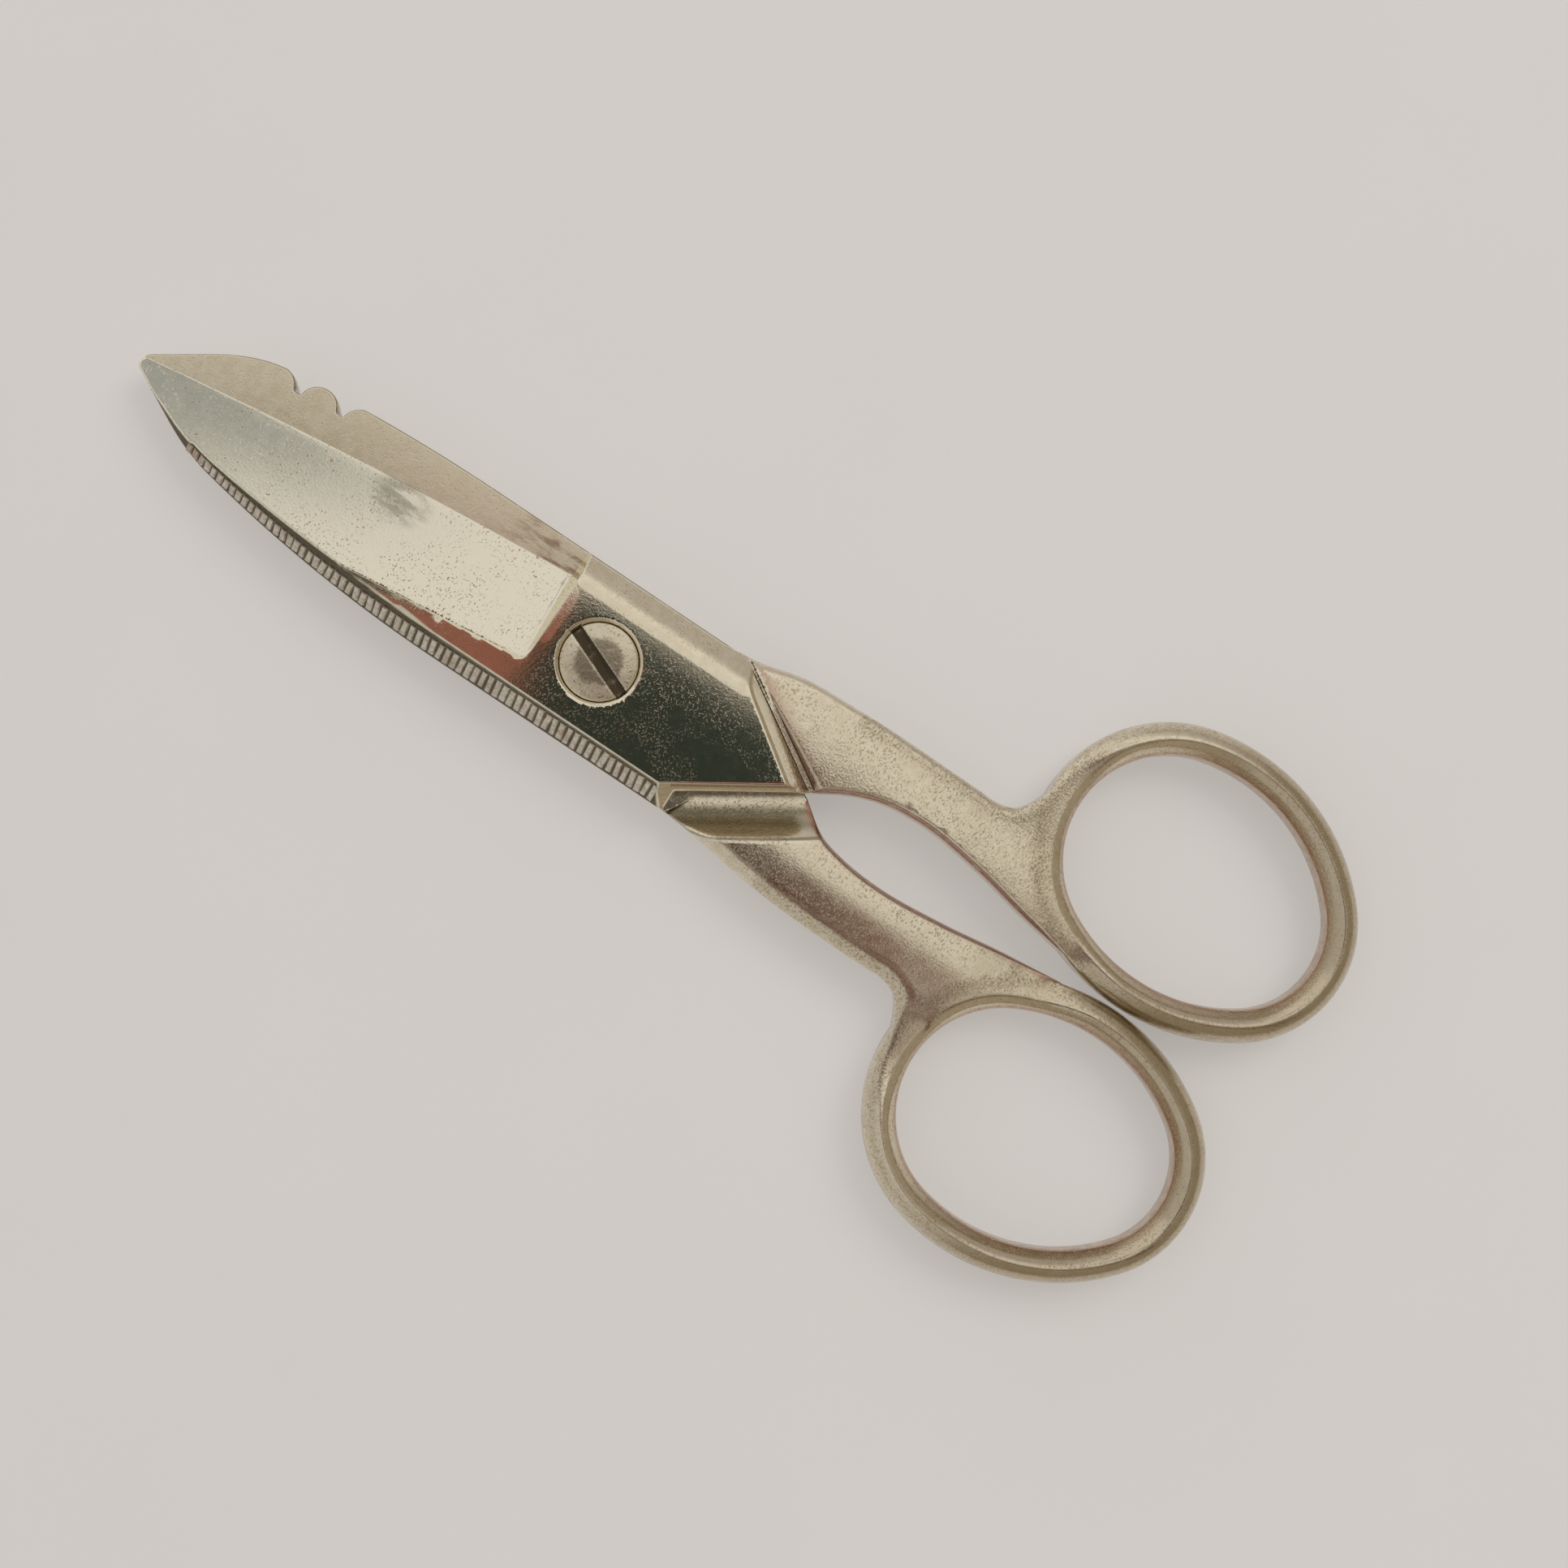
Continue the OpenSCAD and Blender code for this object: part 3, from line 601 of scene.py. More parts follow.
# %% [markdown]
# ## The two halves
# The front half lies on top with its outer face up. The rear half is turned over, so its inner face is
# what shows behind the front blade and under the handles. While a half is meshed, each of its points also
# learns what it lies on: the ground face, the plate, the file, the ramp or an edge. Painting such masks by
# hand would work too, but these follow the shape by themselves.

# %% Marks along the edges of the handle
def rim_marks(x, y, half):
    """Distances from the ring and the outer edge, brown lips inside, and rough skin outside."""
    gap = ring_gap(x, y)
    from_in, from_out = (side_of(x, y, line) for line in half["edges"])
    edge = np.clip(1.7 - from_in / 0.4, 0, 1) * np.clip(0.3 + from_in / 0.2, 0, 1) * (x < -CROTCH_X)
    ring = np.clip((-1.2 - gap) / 0.3, 0, 1) * (gap > -RING_W)
    lip = np.maximum(np.where(gap > RING_W / 2, edge, 0), 0.5 * ring)
    skin = np.clip((1.7 - from_out) / 0.5, 0, 1) * (gap > RING_W / 2 - 1) * (x < -CROTCH_X)
    skin = np.maximum(skin, np.clip((gap - 0.2) / 0.6, 0, 1) * (gap < RING_W / 2 + 0.1))
    return gap, from_out, lip, skin


here = np.array([-35.0]), np.array([-7.0])
print("the shank's middle lies", rim_marks(*here, FRONT)[1].round(1), "mm from its outer edge")


# %% Marks on the inner face
def inner_marks(x, y, half):
    """The flat face, the ramp, and the lips, with a painted red reflection as a streak along the rear half's
    shank.
    """
    gap, from_out, lip, skin = rim_marks(x, y, half)
    zero = np.zeros_like(x)
    height = inner_face(x, y, half)
    ramp = np.clip((height - MID_Z + handle_rise(x, y, half)) / 0.3, 0, 1) * (height < -0.02)
    ramp = ramp * np.clip(-ramp_way(x, y, half) / RAMP_L, 0, 1)
    # Painted reflection: a red-brown streak along the rear shank, about 1.65 mm in from its outer edge,
    # carried in the lip mark.
    streak = np.clip(1.6 - abs(from_out - 1.65) / 0.3, 0, 1) * (gap > 2.5) * (x < -CROTCH_X - 1)
    lip = np.maximum(lip, 0.6 * streak * (half is REAR))
    return {"ground": zero, "plate": zero, "file": zero, "inner": (height > -0.02).astype(float),
            "ramp": ramp, "lip": lip, "skin": skin}


print("inner face:", sorted(inner_marks(*here, REAR)))


# %% Marks on the outer face
def outer_marks(x, y, half):
    """The ground face, the polished plate, the front half's file, and the lips with those at the groove."""
    hollow, bevel, flat = plate_parts(x, y, half)
    _, _, lip, skin = rim_marks(x, y, half)
    zero = np.zeros_like(x)
    start = (-CROTCH_X, -half["crotch"])
    angle = atan2(groove_end[1] - start[1], groove_end[0] - start[0])
    left = from_line(x, y, start, angle)[1]
    on_plate = np.clip((left - 0.3) / 0.6, 0, 1)
    # A brown band on the shank side of the groove, darker towards the groove.
    lip = np.maximum(lip, 0.6 * np.clip((left + 1.9) / 1.5, 0, 1) * (left < -0.4) * (y > -WALL_Y))
    beyond = from_line(x, y, start, end_angle(half))[1] + END_DROP
    lip = np.maximum(lip, 0.9 * np.clip(1.5 - abs(beyond) / 0.1, 0, 1) * (abs(x + 18.5) < 6))
    ground = np.clip((np.minimum(flat, bevel) - hollow) / 0.12, 0, 1) * (x > 0)
    file = np.clip((np.minimum(flat, hollow) - bevel) / 0.12, 0, 1)
    past = hollow - np.minimum(flat, bevel)
    file = np.maximum(file, np.clip(1.3 - past / 0.2, 0, 1) * (past > 0) * np.clip((x - 15) / 9, 0, 0.9))
    file = file * (half is FRONT)
    plate = np.clip(1 - ground - file, 0, 1) * on_plate * np.clip((y + WALL_Y - WALL_W + 0.9) / 1.2, 0, 1)
    return {"ground": ground, "plate": plate, "file": file * on_plate, "inner": zero, "ramp": zero,
            "lip": lip, "skin": skin * (1 - on_plate)}


print("outer face:", sorted(outer_marks(*here, FRONT)))


# %% Build the halves
def circle(r, gap=0.16):
    """A circle round the pivot, with its points at a gap."""
    turns = np.linspace(0, 2 * pi, int(2 * pi * r / gap), endpoint=False)
    return r * np.column_stack([np.cos(turns), np.sin(turns)])


def build_half(name, half, place, rows):
    """One half with its finger hole and its hole for the screw, moved to its place."""
    hole = ring_line(-RING_W / 2, np.linspace(0, 2 * pi, 320, endpoint=False))
    loops = [half["line"], hole, circle(half["hole"])]

    def marks(x, y, sign):
        return (outer_marks if sign > 0 else inner_marks)(x, y, half)

    return solid(name, loops, lambda x, y: outer_face(x, y, half), lambda x, y: inner_face(x, y, half),
                 place, marks, rows)


def ridge(half):
    """Close rows of points along the line where the ground face meets the plate and the bevel."""
    x = np.arange(HEEL_X, BLADE_L - 2, 0.12)
    low, high = np.full_like(x, -3.0), np.full_like(x, SPINE_Y)
    for _ in range(30):
        y = (low + high) / 2
        hollow, bevel, flat = plate_parts(x, y, half)
        under = hollow < np.minimum(bevel, flat)
        low, high = np.where(under, y, low), np.where(under, high, y)
    return [np.column_stack([x, low + gap]) for gap in (-0.4, -0.2, -0.08, 0, 0.08)]


counterbore = [circle(HEAD_R + HEAD_GAP + 0.01, 0.1), circle(HEAD_R + HEAD_GAP - 0.02, 0.1)]
front = build_half("front_half_forging", FRONT, lambda p: p + [0, 0, PLATE_T + JOINT_GAP],
                   (counterbore + ridge(FRONT), ()))
# Close rows of points under the painted reflection streak on the rear shank.
streak = [inset(REAR["edges"][1], gap) for gap in (1.15, 1.45, 1.85, 2.15)]
rear = build_half("rear_half_forging", REAR, lambda p: p * [1, -1, -1] + [0, 0, PLATE_T],
                  (ridge(REAR), streak))


# %% [markdown]
# ## The pivot screw
# One slotted screw holds the halves. Its head sits flush in the front half, with a hair of a gap round it,
# and its end is filed off level with the rear face. It is drawn as two height maps as well: the head with
# its slot, and the stepped shank below it.

# %% Build the screw
HEAD_CROWN, CROWN_POWER, SLOT_LIP, LIP_FALL = 0.3, 2.6, 0.14, 0.5


def screw_top(x, y):
    """The head: a little crowned, with the slot."""
    top = 2 * PLATE_T + JOINT_GAP - HEAD_CROWN * (np.hypot(x, y) / HEAD_R) ** CROWN_POWER
    side = abs(from_line(x, y, (0, 0), SLOT_TURN)[1])
    lip = top - LIP_FALL * np.clip(SLOT_W / 2 + SLOT_LIP - side, 0, None)
    return np.where(side < SLOT_W / 2, 2 * PLATE_T + JOINT_GAP - SLOT_DEPTH, lip)


def screw_bottom(x, y):
    """Thread end, bearing and the head's underside."""
    r = np.hypot(x, y)
    return np.where(r < THREAD_R, 0.0, np.where(r < BEARING_R, PLATE_T, 2 * PLATE_T + JOINT_GAP - HEAD_T))


def slot_line(offset):
    """A row of points along the slot."""
    u = np.arange(-HEAD_R, HEAD_R, 0.12)
    c, s = cos(SLOT_TURN), sin(SLOT_TURN)
    return np.column_stack([u * c - offset * s, u * s + offset * c])


def screw_marks(x, y, sign):
    """Where the slot is, for the finish."""
    side = abs(from_line(x, y, (0, 0), SLOT_TURN)[1])
    slot = (side < SLOT_W / 2 + 0.02).astype(float) * (sign > 0)
    return {"slot": slot}


slot_rows = [slot_line(s * (SLOT_W / 2 + gap)) for s in (1, -1) for gap in (0.01, -0.02)]
steps = [circle(r + gap, 0.12) for r in (THREAD_R, BEARING_R) for gap in (0.01, -0.02)]
screw = solid("slotted_pivot_screw", [circle(HEAD_R)], screw_top, screw_bottom, lambda p: p,
              screw_marks, (slot_rows, steps))


# %% [markdown]
# ## A small language for node trees
# Geometry nodes and shader nodes are both wired up from Python. A `Wire` is one socket of a tree: maths on
# wires adds Math nodes, and its `node` method adds any other node.

# %% The wire
class Wire:
    """One socket of a node tree, so that maths on it reads like maths."""

    def __init__(self, tree, socket):
        self.tree, self.socket = tree, socket

    def node(self, kind, settings=(), inputs=(), out=0):
        """Any node: its settings first, then the values or wires of its sockets."""
        made = self.tree.nodes.new(kind)
        for key, value in dict(settings).items():
            setattr(made, key, value)
        for key, value in dict(inputs).items():
            if isinstance(value, Wire):
                self.tree.links.new(value.socket, made.inputs[key])
            else:
                made.inputs[key].default_value = value
        return Wire(self.tree, made.outputs[out])

    def math(self, operation, *values):
        return self.node("ShaderNodeMath", {"operation": operation}, dict(enumerate(values)))

    def __add__(self, other):
        return self.math("ADD", self, other)

    def __sub__(self, other):
        return self.math("SUBTRACT", self, other)

    def __rsub__(self, other):
        return self.math("SUBTRACT", other, self)

    def __mul__(self, other):
        return self.math("MULTIPLY", self, other)

    def __truediv__(self, other):
        return self.math("DIVIDE", self, other)

    def __rtruediv__(self, other):
        return self.math("DIVIDE", other, self)

    __radd__, __rmul__ = __add__, __mul__


print("Wire adds", [n for n in ("__add__", "__sub__", "__mul__", "__truediv__") if hasattr(Wire, n)])

# %% [markdown]
# ## File teeth
# The front half's spine is a nail file: short bars square to the spine, with dark grooves between them.
# They repeat along a path, so Geometry Nodes place them. One tapered bar is made in the tree and set on
# points at the pitch along the middle of the bevel, each a little uneven in width, height and turn.

# %% The path of the teeth
TOOTH_L, TOOTH_IN, TIP_SHARE, TIP_FROM = 1.5, 0.08, 0.45, 8


def file_path():
    """The middle line of the teeth on the front spine's bevel, in assembled millimetres."""
    ax, ar = FRONT["arc"]
    x = np.arange(FILE_BACK + 0.3, FILE_END, 0.1)
    share = np.interp(x, (TIP_FROM, FILE_END), (1, TIP_SHARE))
    inward = TOOTH_IN + TOOTH_L * share / 2
    turn = np.arcsin(np.clip(x - ax, 0, None) / ar)
    flat = np.column_stack([x - inward * np.sin(turn), spine_y(x, (ax, ar)) - inward * np.cos(turn)])
    return np.column_stack([flat, PLATE_T + JOINT_GAP + SPINE_LAND + BEVEL_SLOPE * inward])


path = file_path()
path_mesh = bpy.data.meshes.new("file_path")
path_mesh.from_pydata((path * MM).tolist(), [(i, i + 1) for i in range(len(path) - 1)], [])
teeth_path = bpy.data.objects.new("file_path", path_mesh)
bpy.context.scene.collection.objects.link(teeth_path)
print("file path:", round(float(np.hypot(*np.diff(path[:, :2], axis=0).T).sum()), 1), "mm long")


# %% The tree that sets the teeth
def teeth_tree():
    """Bars on points along a path: tapered, shorter towards one end, each a little uneven."""
    tree = bpy.data.node_groups.new("file_teeth", "GeometryNodeTree")
    face = tree.interface
    face.new_socket("Geometry", in_out="INPUT", socket_type="NodeSocketGeometry")
    for name in ("Pitch", "Width", "Length", "Height", "Lean", "Short From", "Short To", "Short Share"):
        face.new_socket(name, in_out="INPUT", socket_type="NodeSocketFloat")
    face.new_socket("Seed", in_out="INPUT", socket_type="NodeSocketInt")
    face.new_socket("Finish", in_out="INPUT", socket_type="NodeSocketMaterial")
    face.new_socket("Geometry", in_out="OUTPUT", socket_type="NodeSocketGeometry")
    given = tree.nodes.new("NodeGroupInput")
    result = tree.nodes.new("NodeGroupOutput")
    port = {s.name: Wire(tree, s) for s in given.outputs if s.name}
    curve = port["Geometry"].node("GeometryNodeMeshToCurve", {}, {"Mesh": port["Geometry"]})
    spots = curve.node("GeometryNodeCurveToPoints", {"mode": "LENGTH"},
                       {"Curve": curve, "Length": port["Pitch"]})
    tangent = Wire(tree, spots.socket.node.outputs["Tangent"])
    parts = tangent.node("ShaderNodeSeparateXYZ", {}, {0: tangent})
    angle = parts.math("ARCTAN2", Wire(tree, parts.socket.node.outputs["Y"]), parts)

    def chance(low, high, shift):
        """A random value of its own for each point."""
        return port["Seed"].node("FunctionNodeRandomValue", {"data_type": "FLOAT"},
                                 {2: low, 3: high, "Seed": port["Seed"] + shift}, 1)

    size = port["Width"].node("ShaderNodeCombineXYZ", {},
                              {0: port["Width"], 1: port["Length"], 2: port["Height"]})
    bar = size.node("GeometryNodeMeshCube", {}, {"Size": size, 1: 4, 2: 4, 3: 3})
    spot = Wire(tree, tree.nodes.new("GeometryNodeInputPosition").outputs[0])
    at = spot.node("ShaderNodeSeparateXYZ", {}, {0: spot})
    x, y, z = at, Wire(tree, at.socket.node.outputs[1]), Wire(tree, at.socket.node.outputs[2])
    rise = z / port["Height"] + 0.5
    narrow = x.node("ShaderNodeCombineXYZ", {},
                    {0: x * (1 - 0.4 * rise * rise), 1: y * (1 - 0.05 * rise * rise), 2: z})
    bar = bar.node("GeometryNodeSetPosition", {}, {"Geometry": bar, "Position": narrow})
    turn = angle.node("ShaderNodeCombineXYZ", {},
                      {0: port["Lean"] + chance(-0.02, 0.02, 3), 1: chance(-0.1, 0.1, 4),
                       2: angle + chance(-0.05, 0.05, 1)})
    here = spot.node("ShaderNodeSeparateXYZ", {}, {0: spot})
    short = here.node("ShaderNodeMapRange", {}, {0: here, 1: port["Short From"], 2: port["Short To"], 3: 1.0,
                                                 4: port["Short Share"]})
    scale = angle.node("ShaderNodeCombineXYZ", {},
                       {0: chance(0.86, 1.06, 2), 1: short * chance(0.9, 1, 5), 2: chance(0.75, 1, 6)})
    set_out = spots.node("GeometryNodeInstanceOnPoints", {},
                         {"Points": spots, "Instance": bar, "Rotation": turn, "Scale": scale})
    real = set_out.node("GeometryNodeRealizeInstances", {}, {"Geometry": set_out})
    done = real.node("GeometryNodeSetMaterial", {}, {"Geometry": real, "Material": port["Finish"]})
    tree.links.new(done.socket, result.inputs[0])
    return tree


file_tree = teeth_tree()
print("file teeth:", len(file_tree.nodes), "nodes in the tree")


# %% Set the teeth and make them a plain mesh
def bake_teeth(finish):
    """The tree's result as a mesh without modifiers, let down to the file's bed."""
    modifier = teeth_path.modifiers.new("teeth", "NODES")
    modifier.node_group = file_tree
    sockets = {s.name: s.identifier for s in file_tree.interface.items_tree if s.in_out == "INPUT"}
    values = {"Pitch": TOOTH_PITCH * MM, "Width": 0.98 * TOOTH_PITCH * MM, "Height": 2 * TOOTH_H * MM,
              "Length": TOOTH_L * hypot(1, BEVEL_SLOPE) * MM, "Lean": -atan2(BEVEL_SLOPE, 1),
              "Short From": TIP_FROM * MM, "Short To": FILE_END * MM, "Short Share": TIP_SHARE,
              "Seed": 7, "Finish": finish}
    for name, value in values.items():
        modifier[sockets[name]] = value
    view = bpy.context.evaluated_depsgraph_get()
    mesh = bpy.data.meshes.new_from_object(teeth_path.evaluated_get(view))
    teeth_path.modifiers.clear()
    bpy.data.objects.remove(teeth_path)
    drop = TOOTH_H * MM / hypot(1, BEVEL_SLOPE)
    mesh.transform(Matrix.Translation((0, -drop * BEVEL_SLOPE, -drop)))
    mesh.name = "file_teeth"
    piece = bpy.data.objects.new("file_teeth", mesh)
    bpy.context.scene.collection.objects.link(piece)
    print("file teeth:", len(mesh.polygons), "faces")
    return piece


# %% [markdown]
# ## Finishes
# The steel is nickel plated. On the forged handles the plating follows a fine pebbled skin; on the plate
# it was polished first, so it mirrors; the blades were ground afterwards and show a pale, faintly brushed
# steel with dark specks. Years of use rubbed the edges bright and left brown grime in every hollow. The
# marks that the meshes carry say where each of these is.

# %% Shared patterns
NICKEL, DULL, BRIGHT = (0.82, 0.75, 0.60, 1), (0.72, 0.64, 0.48, 1), (0.95, 0.91, 0.80, 1)
BROWN, GRIME, OLIVE = (0.34, 0.22, 0.14, 1), (0.055, 0.040, 0.024, 1), (0.17, 0.145, 0.085, 1)
# The red-brown of the lip mark colours the rusty lips and also the painted red reflection streak on the rear
# shank.
GROUND, RUST_AND_RED_REFLECTION = (0.83, 0.78, 0.65, 1), (0.34, 0.15, 0.10, 1)
# The ring colour is painted shade: a darker olive laid over the rings in place of the dusky end of the room
# that they mirror.
RING_SHADE, SKIN_TONE = (0.54, 0.455, 0.325, 1), (0.42, 0.34, 0.22, 1)
SCUFFED, FILE_BED = (0.40, 0.37, 0.29, 1), (0.09, 0.075, 0.045, 1)


def start_finish(name):
    """A new material: its shader and a wire of Object coordinates."""
    material = bpy.data.materials.new(name)
    material.use_nodes = True
    shader = material.node_tree.nodes["Principled BSDF"]
    where = Wire(material.node_tree, material.node_tree.nodes.new("ShaderNodeTexCoord").outputs["Object"])
    return material, shader, where


def noise(where, scale, detail=2.0, rough=0.5, stretch=(1, 1, 1)):
    """Noise of so many lumps a metre, stretched along an axis where its share is under 1."""
    at = where
    if stretch != (1, 1, 1):
        at = where.node("ShaderNodeMapping", {}, {"Vector": where, "Scale": stretch})
    return where.node("ShaderNodeTexNoise", {},
                      {"Vector": at, "Scale": scale, "Detail": detail, "Roughness": rough}, "Fac")


def between(value, low, high):
    """0 up to low, 1 from high on, smooth between; it falls where high is the smaller."""
    return value.node("ShaderNodeMapRange", {"interpolation_type": "SMOOTHSTEP"},
                      {"Value": value, "From Min": low, "From Max": high})


def blend(share, first, second):
    """The first colour where the share is 0, the second where it is 1."""
    return share.node("ShaderNodeMix", {"data_type": "RGBA"}, {0: share, 6: first, 7: second}, 2)


def mark(where, name):
    """A mark that the mesh carries."""
    return where.node("ShaderNodeAttribute", {"attribute_name": name}, {}, "Fac")


def join(wire, shader, socket):
    """Link a wire to a socket of a shader."""
    wire.tree.links.new(wire.socket, shader.inputs[socket])


def bump(height, shader, depth):
    """Fine relief of this depth in metres."""
    made = height.node("ShaderNodeBump", {}, {"Height": height, "Strength": 1.0, "Distance": depth})
    join(made, shader, "Normal")


print("nickel", NICKEL[:3], "is rubbed to", BRIGHT[:3])

# %% What the nickel reads: noises, marks and places
from types import SimpleNamespace

MARKS = ("ground", "plate", "inner", "file", "ramp", "lip", "grime", "worn", "skin")


def nickel_clues(where):
    """Noises at several scales, the marks of a half, and the place on it in metres."""
    place = where.node("ShaderNodeSeparateXYZ", {}, {0: where})
    x, y, z = (Wire(where.tree, socket) for socket in place.socket.node.outputs)
    return SimpleNamespace(
        x=x, y=y, z=z, cloud=noise(where, 90, 3), mottle=noise(where, 1100, 4, 0.65),
        pebble=noise(where, 4200, 2, 0.6), speck=noise(where, 5200, 2, 0.6, (1, 0.6, 1)),
        often=between(noise(where, 240, 2), 0.3, 0.6), rubbed=noise(where, 900, 3, 0.6, (0.3, 1, 1)),
        **{name: mark(where, name) for name in MARKS})


print("the nickel reads", len(MARKS), "marks")

# %% Layers of the nickel's colour
# Where in X the painted shade of the rings begins and where it is full.
RING_SHADE_FROM, FRONT_FROM, HEEL_DIRT = (-0.050, -0.062), (0.0030, 0.0034), (0.018, 0.010, 0.005, 0.007)
SCUFF_X, SCUFF_Y, SCUFF_L, SCUFF_W = 0.0255, -0.0025, 0.004, 0.003
RAGGED_FROM = (0.008, 0.009)


def plating(on, pits):
    """Mottled plating, pale where it is ground off, darkened on the rings by painted shade, pitted, rough
    along the edges.
    """
    tone = blend(between(on.mottle, 0.2, 0.8), DULL, NICKEL)
    tone = blend(on.ground, tone, GROUND)
    # Painted shade: the rings are darkened from the start of the ring outwards in X.
    tone = blend(between(on.x, *RING_SHADE_FROM) * 0.85, tone, RING_SHADE)
    tone = blend(pits * (0.42 + 0.38 * on.ground), tone, BROWN)
    return blend(on.skin * (0.25 + 0.5 * between(on.speck, 0.5, 0.6)), tone, SKIN_TONE)


def stains(on, tone):
    """A scuffed patch on the ground face, dirt at the heel, an olive ramp, rusty lips, and the painted red
    reflection streak on the rear shank.
    """
    across, along = (on.y - SCUFF_Y) / SCUFF_W, (on.x - SCUFF_X) / SCUFF_L
    scuff = between(across * across + along * along, 1.0, 0.1)
    scuff = scuff * between(on.rubbed + 0.15 * on.speck, 0.42, 0.66) * between(on.z, *FRONT_FROM)
    tone = blend(scuff * on.ground * 0.8, tone, SCUFFED)
    heel = between(on.x, *HEEL_DIRT[:2]) * between(on.x, *HEEL_DIRT[2:])
    tone = blend(heel * between(on.rubbed, 0.46, 0.64) * on.inner * 0.8, tone, BROWN)
    lens = between(on.ramp, 0.12, 0.35) * between(on.ramp, 0.85, 0.6)
    tone = blend(lens * (0.45 + 0.5 * on.mottle), tone, OLIVE)
    # The lip mark: rusty lips, a brown band beside the groove, and the painted reflection streak of the rear
    # shank.
    return blend(on.lip * between(on.mottle, 0.1, 0.55), tone, RUST_AND_RED_REFLECTION)


def dirt_and_wear(on, tone, dirt):
    """A ragged dark line along the ground face, grime in hollows, the file's bed, and rubbed edges."""
    ragged = between(1.8 * on.speck - on.ground, 0.55, 0.8) * between(on.ground, 0.0, 0.04)
    tone = blend(ragged * between(on.x, *RAGGED_FROM), tone, GRIME)
    tone = blend(dirt, tone, GRIME)
    tone = blend(on.file * 0.95, tone, FILE_BED)
    bare = on.worn * between(on.mottle, 0.2, 0.7) * (1 - 0.7 * on.ground) * (1 - on.file) * (1 - on.inner)
    tone = blend(bare * 0.45, tone, BRIGHT)
    return blend(on.worn * on.inner * between(on.mottle, 0.2, 0.55) * 0.85, tone, OLIVE)


print("layers:", [layer.__name__ for layer in (plating, stains, dirt_and_wear)])

# %% Worn nickel for the halves
PEBBLE_DEPTH = 0.00003


def worn_nickel(name, pebbled):
    """Plating over a skin that is pebbled by a share, with all its marks."""
    material, shader, where = start_finish(name)
    on = nickel_clues(where)
    pits = between(on.speck - 0.04 * on.ground, 0.57, 0.64) * on.often
    pits = pits * (1 - 0.8 * on.inner) * (1 - 0.92 * on.plate)
    dirt = between(on.grime * (0.5 + on.mottle) * (1 - 0.9 * on.ground), 0.3, 0.8)
    join(dirt_and_wear(on, stains(on, plating(on, pits)), dirt), shader, "Base Color")
    rough = 0.11 + 0.10 * on.mottle * (1 - 0.7 * on.plate) - 0.075 * on.plate + 0.4 * dirt - 0.03 * on.ground
    join(rough, shader, "Roughness")
    join(1 - 0.6 * dirt, shader, "Metallic")
    rugged = (0.3 + 0.7 * between(on.cloud, 0.42, 0.6)) * pebbled + 0.6 * on.skin
    smooth = (1 - 0.85 * on.ground) * (1 - 0.91 * on.plate) * (1 - 0.9 * on.inner)
    bump(on.pebble * rugged * smooth - 0.6 * pits, shader, PEBBLE_DEPTH)
    return material


front_nickel, rear_nickel = worn_nickel("front_worn_nickel", 1.0), worn_nickel("rear_worn_nickel", 0.4)
print("worn nickel:", len(front_nickel.node_tree.nodes), "nodes")

# %% Rubbed steel for the file teeth
TOOTH_DARK, TOOTH_PALE, GRAIN_DEPTH = (0.50, 0.45, 0.37, 1), (0.78, 0.74, 0.66, 1), 0.00004


def rubbed_steel(name):
    """Bare steel with a fine grain and a few brown patches."""
    material, shader, where = start_finish(name)
    grain, patch = noise(where, 2600, 3, 0.6), noise(where, 260, 2)
    tone = blend(between(grain, 0.3, 0.7), TOOTH_DARK, TOOTH_PALE)
    tone = blend(between(patch, 0.5, 0.7) * 0.5, tone, BROWN)
    join(tone, shader, "Base Color")
    join(0.30 + 0.2 * grain, shader, "Roughness")
    shader.inputs["Metallic"].default_value = 1.0
    bump(grain, shader, GRAIN_DEPTH)
    return material


tooth_steel = rubbed_steel("rubbed_steel")
print("rubbed steel:", len(tooth_steel.node_tree.nodes), "nodes")

# %% Stained steel for the screw
STAIN, SLOT_DIRT = (0.26, 0.215, 0.15, 1), (0.10, 0.075, 0.04, 1)
STAIN_R, STAIN_SPREAD, STAIN_DEPTH = (0.0034, 0.0028), 0.0014, 0.00005


def stained_steel(name):
    """Mottled plating with a ragged brown stain in the middle and dirt in the slot."""
    material, shader, where = start_finish(name)
    mottle, speck = noise(where, 800, 4, 0.65), noise(where, 3600, 2)
    parts = where.node("ShaderNodeSeparateXYZ", {}, {0: where})
    y = Wire(where.tree, parts.socket.node.outputs["Y"])
    reach = parts.math("SQRT", parts * parts + y * y)
    slot, worn = mark(where, "slot"), mark(where, "worn")
    tone = blend(between(mottle, 0.3, 0.7), DULL, NICKEL)
    stain = between(reach + STAIN_SPREAD * mottle, *STAIN_R)
    tone = blend(stain * between(mottle, 0.15, 0.5) * 0.85, tone, STAIN)
    tone = blend(between(speck, 0.6, 0.7) * 0.6, tone, GRIME)
    tone = blend(worn * 0.5, tone, BRIGHT)
    tone = blend(slot * between(mottle, 0.15, 0.45), tone, SLOT_DIRT)
    join(tone, shader, "Base Color")
    join(0.2 + 0.2 * mottle + 0.3 * slot, shader, "Roughness")
    join(1 - 0.7 * slot, shader, "Metallic")
    bump(mottle + 0.5 * speck, shader, STAIN_DEPTH)
    return material


screw_steel = stained_steel("stained_steel")
print("stained steel:", len(screw_steel.node_tree.nodes), "nodes")

# %% Put the finishes on
for piece, finish in ((front, front_nickel), (rear, rear_nickel), (screw, screw_steel)):
    piece.data.materials.append(finish)
teeth = bake_teeth(tooth_steel)

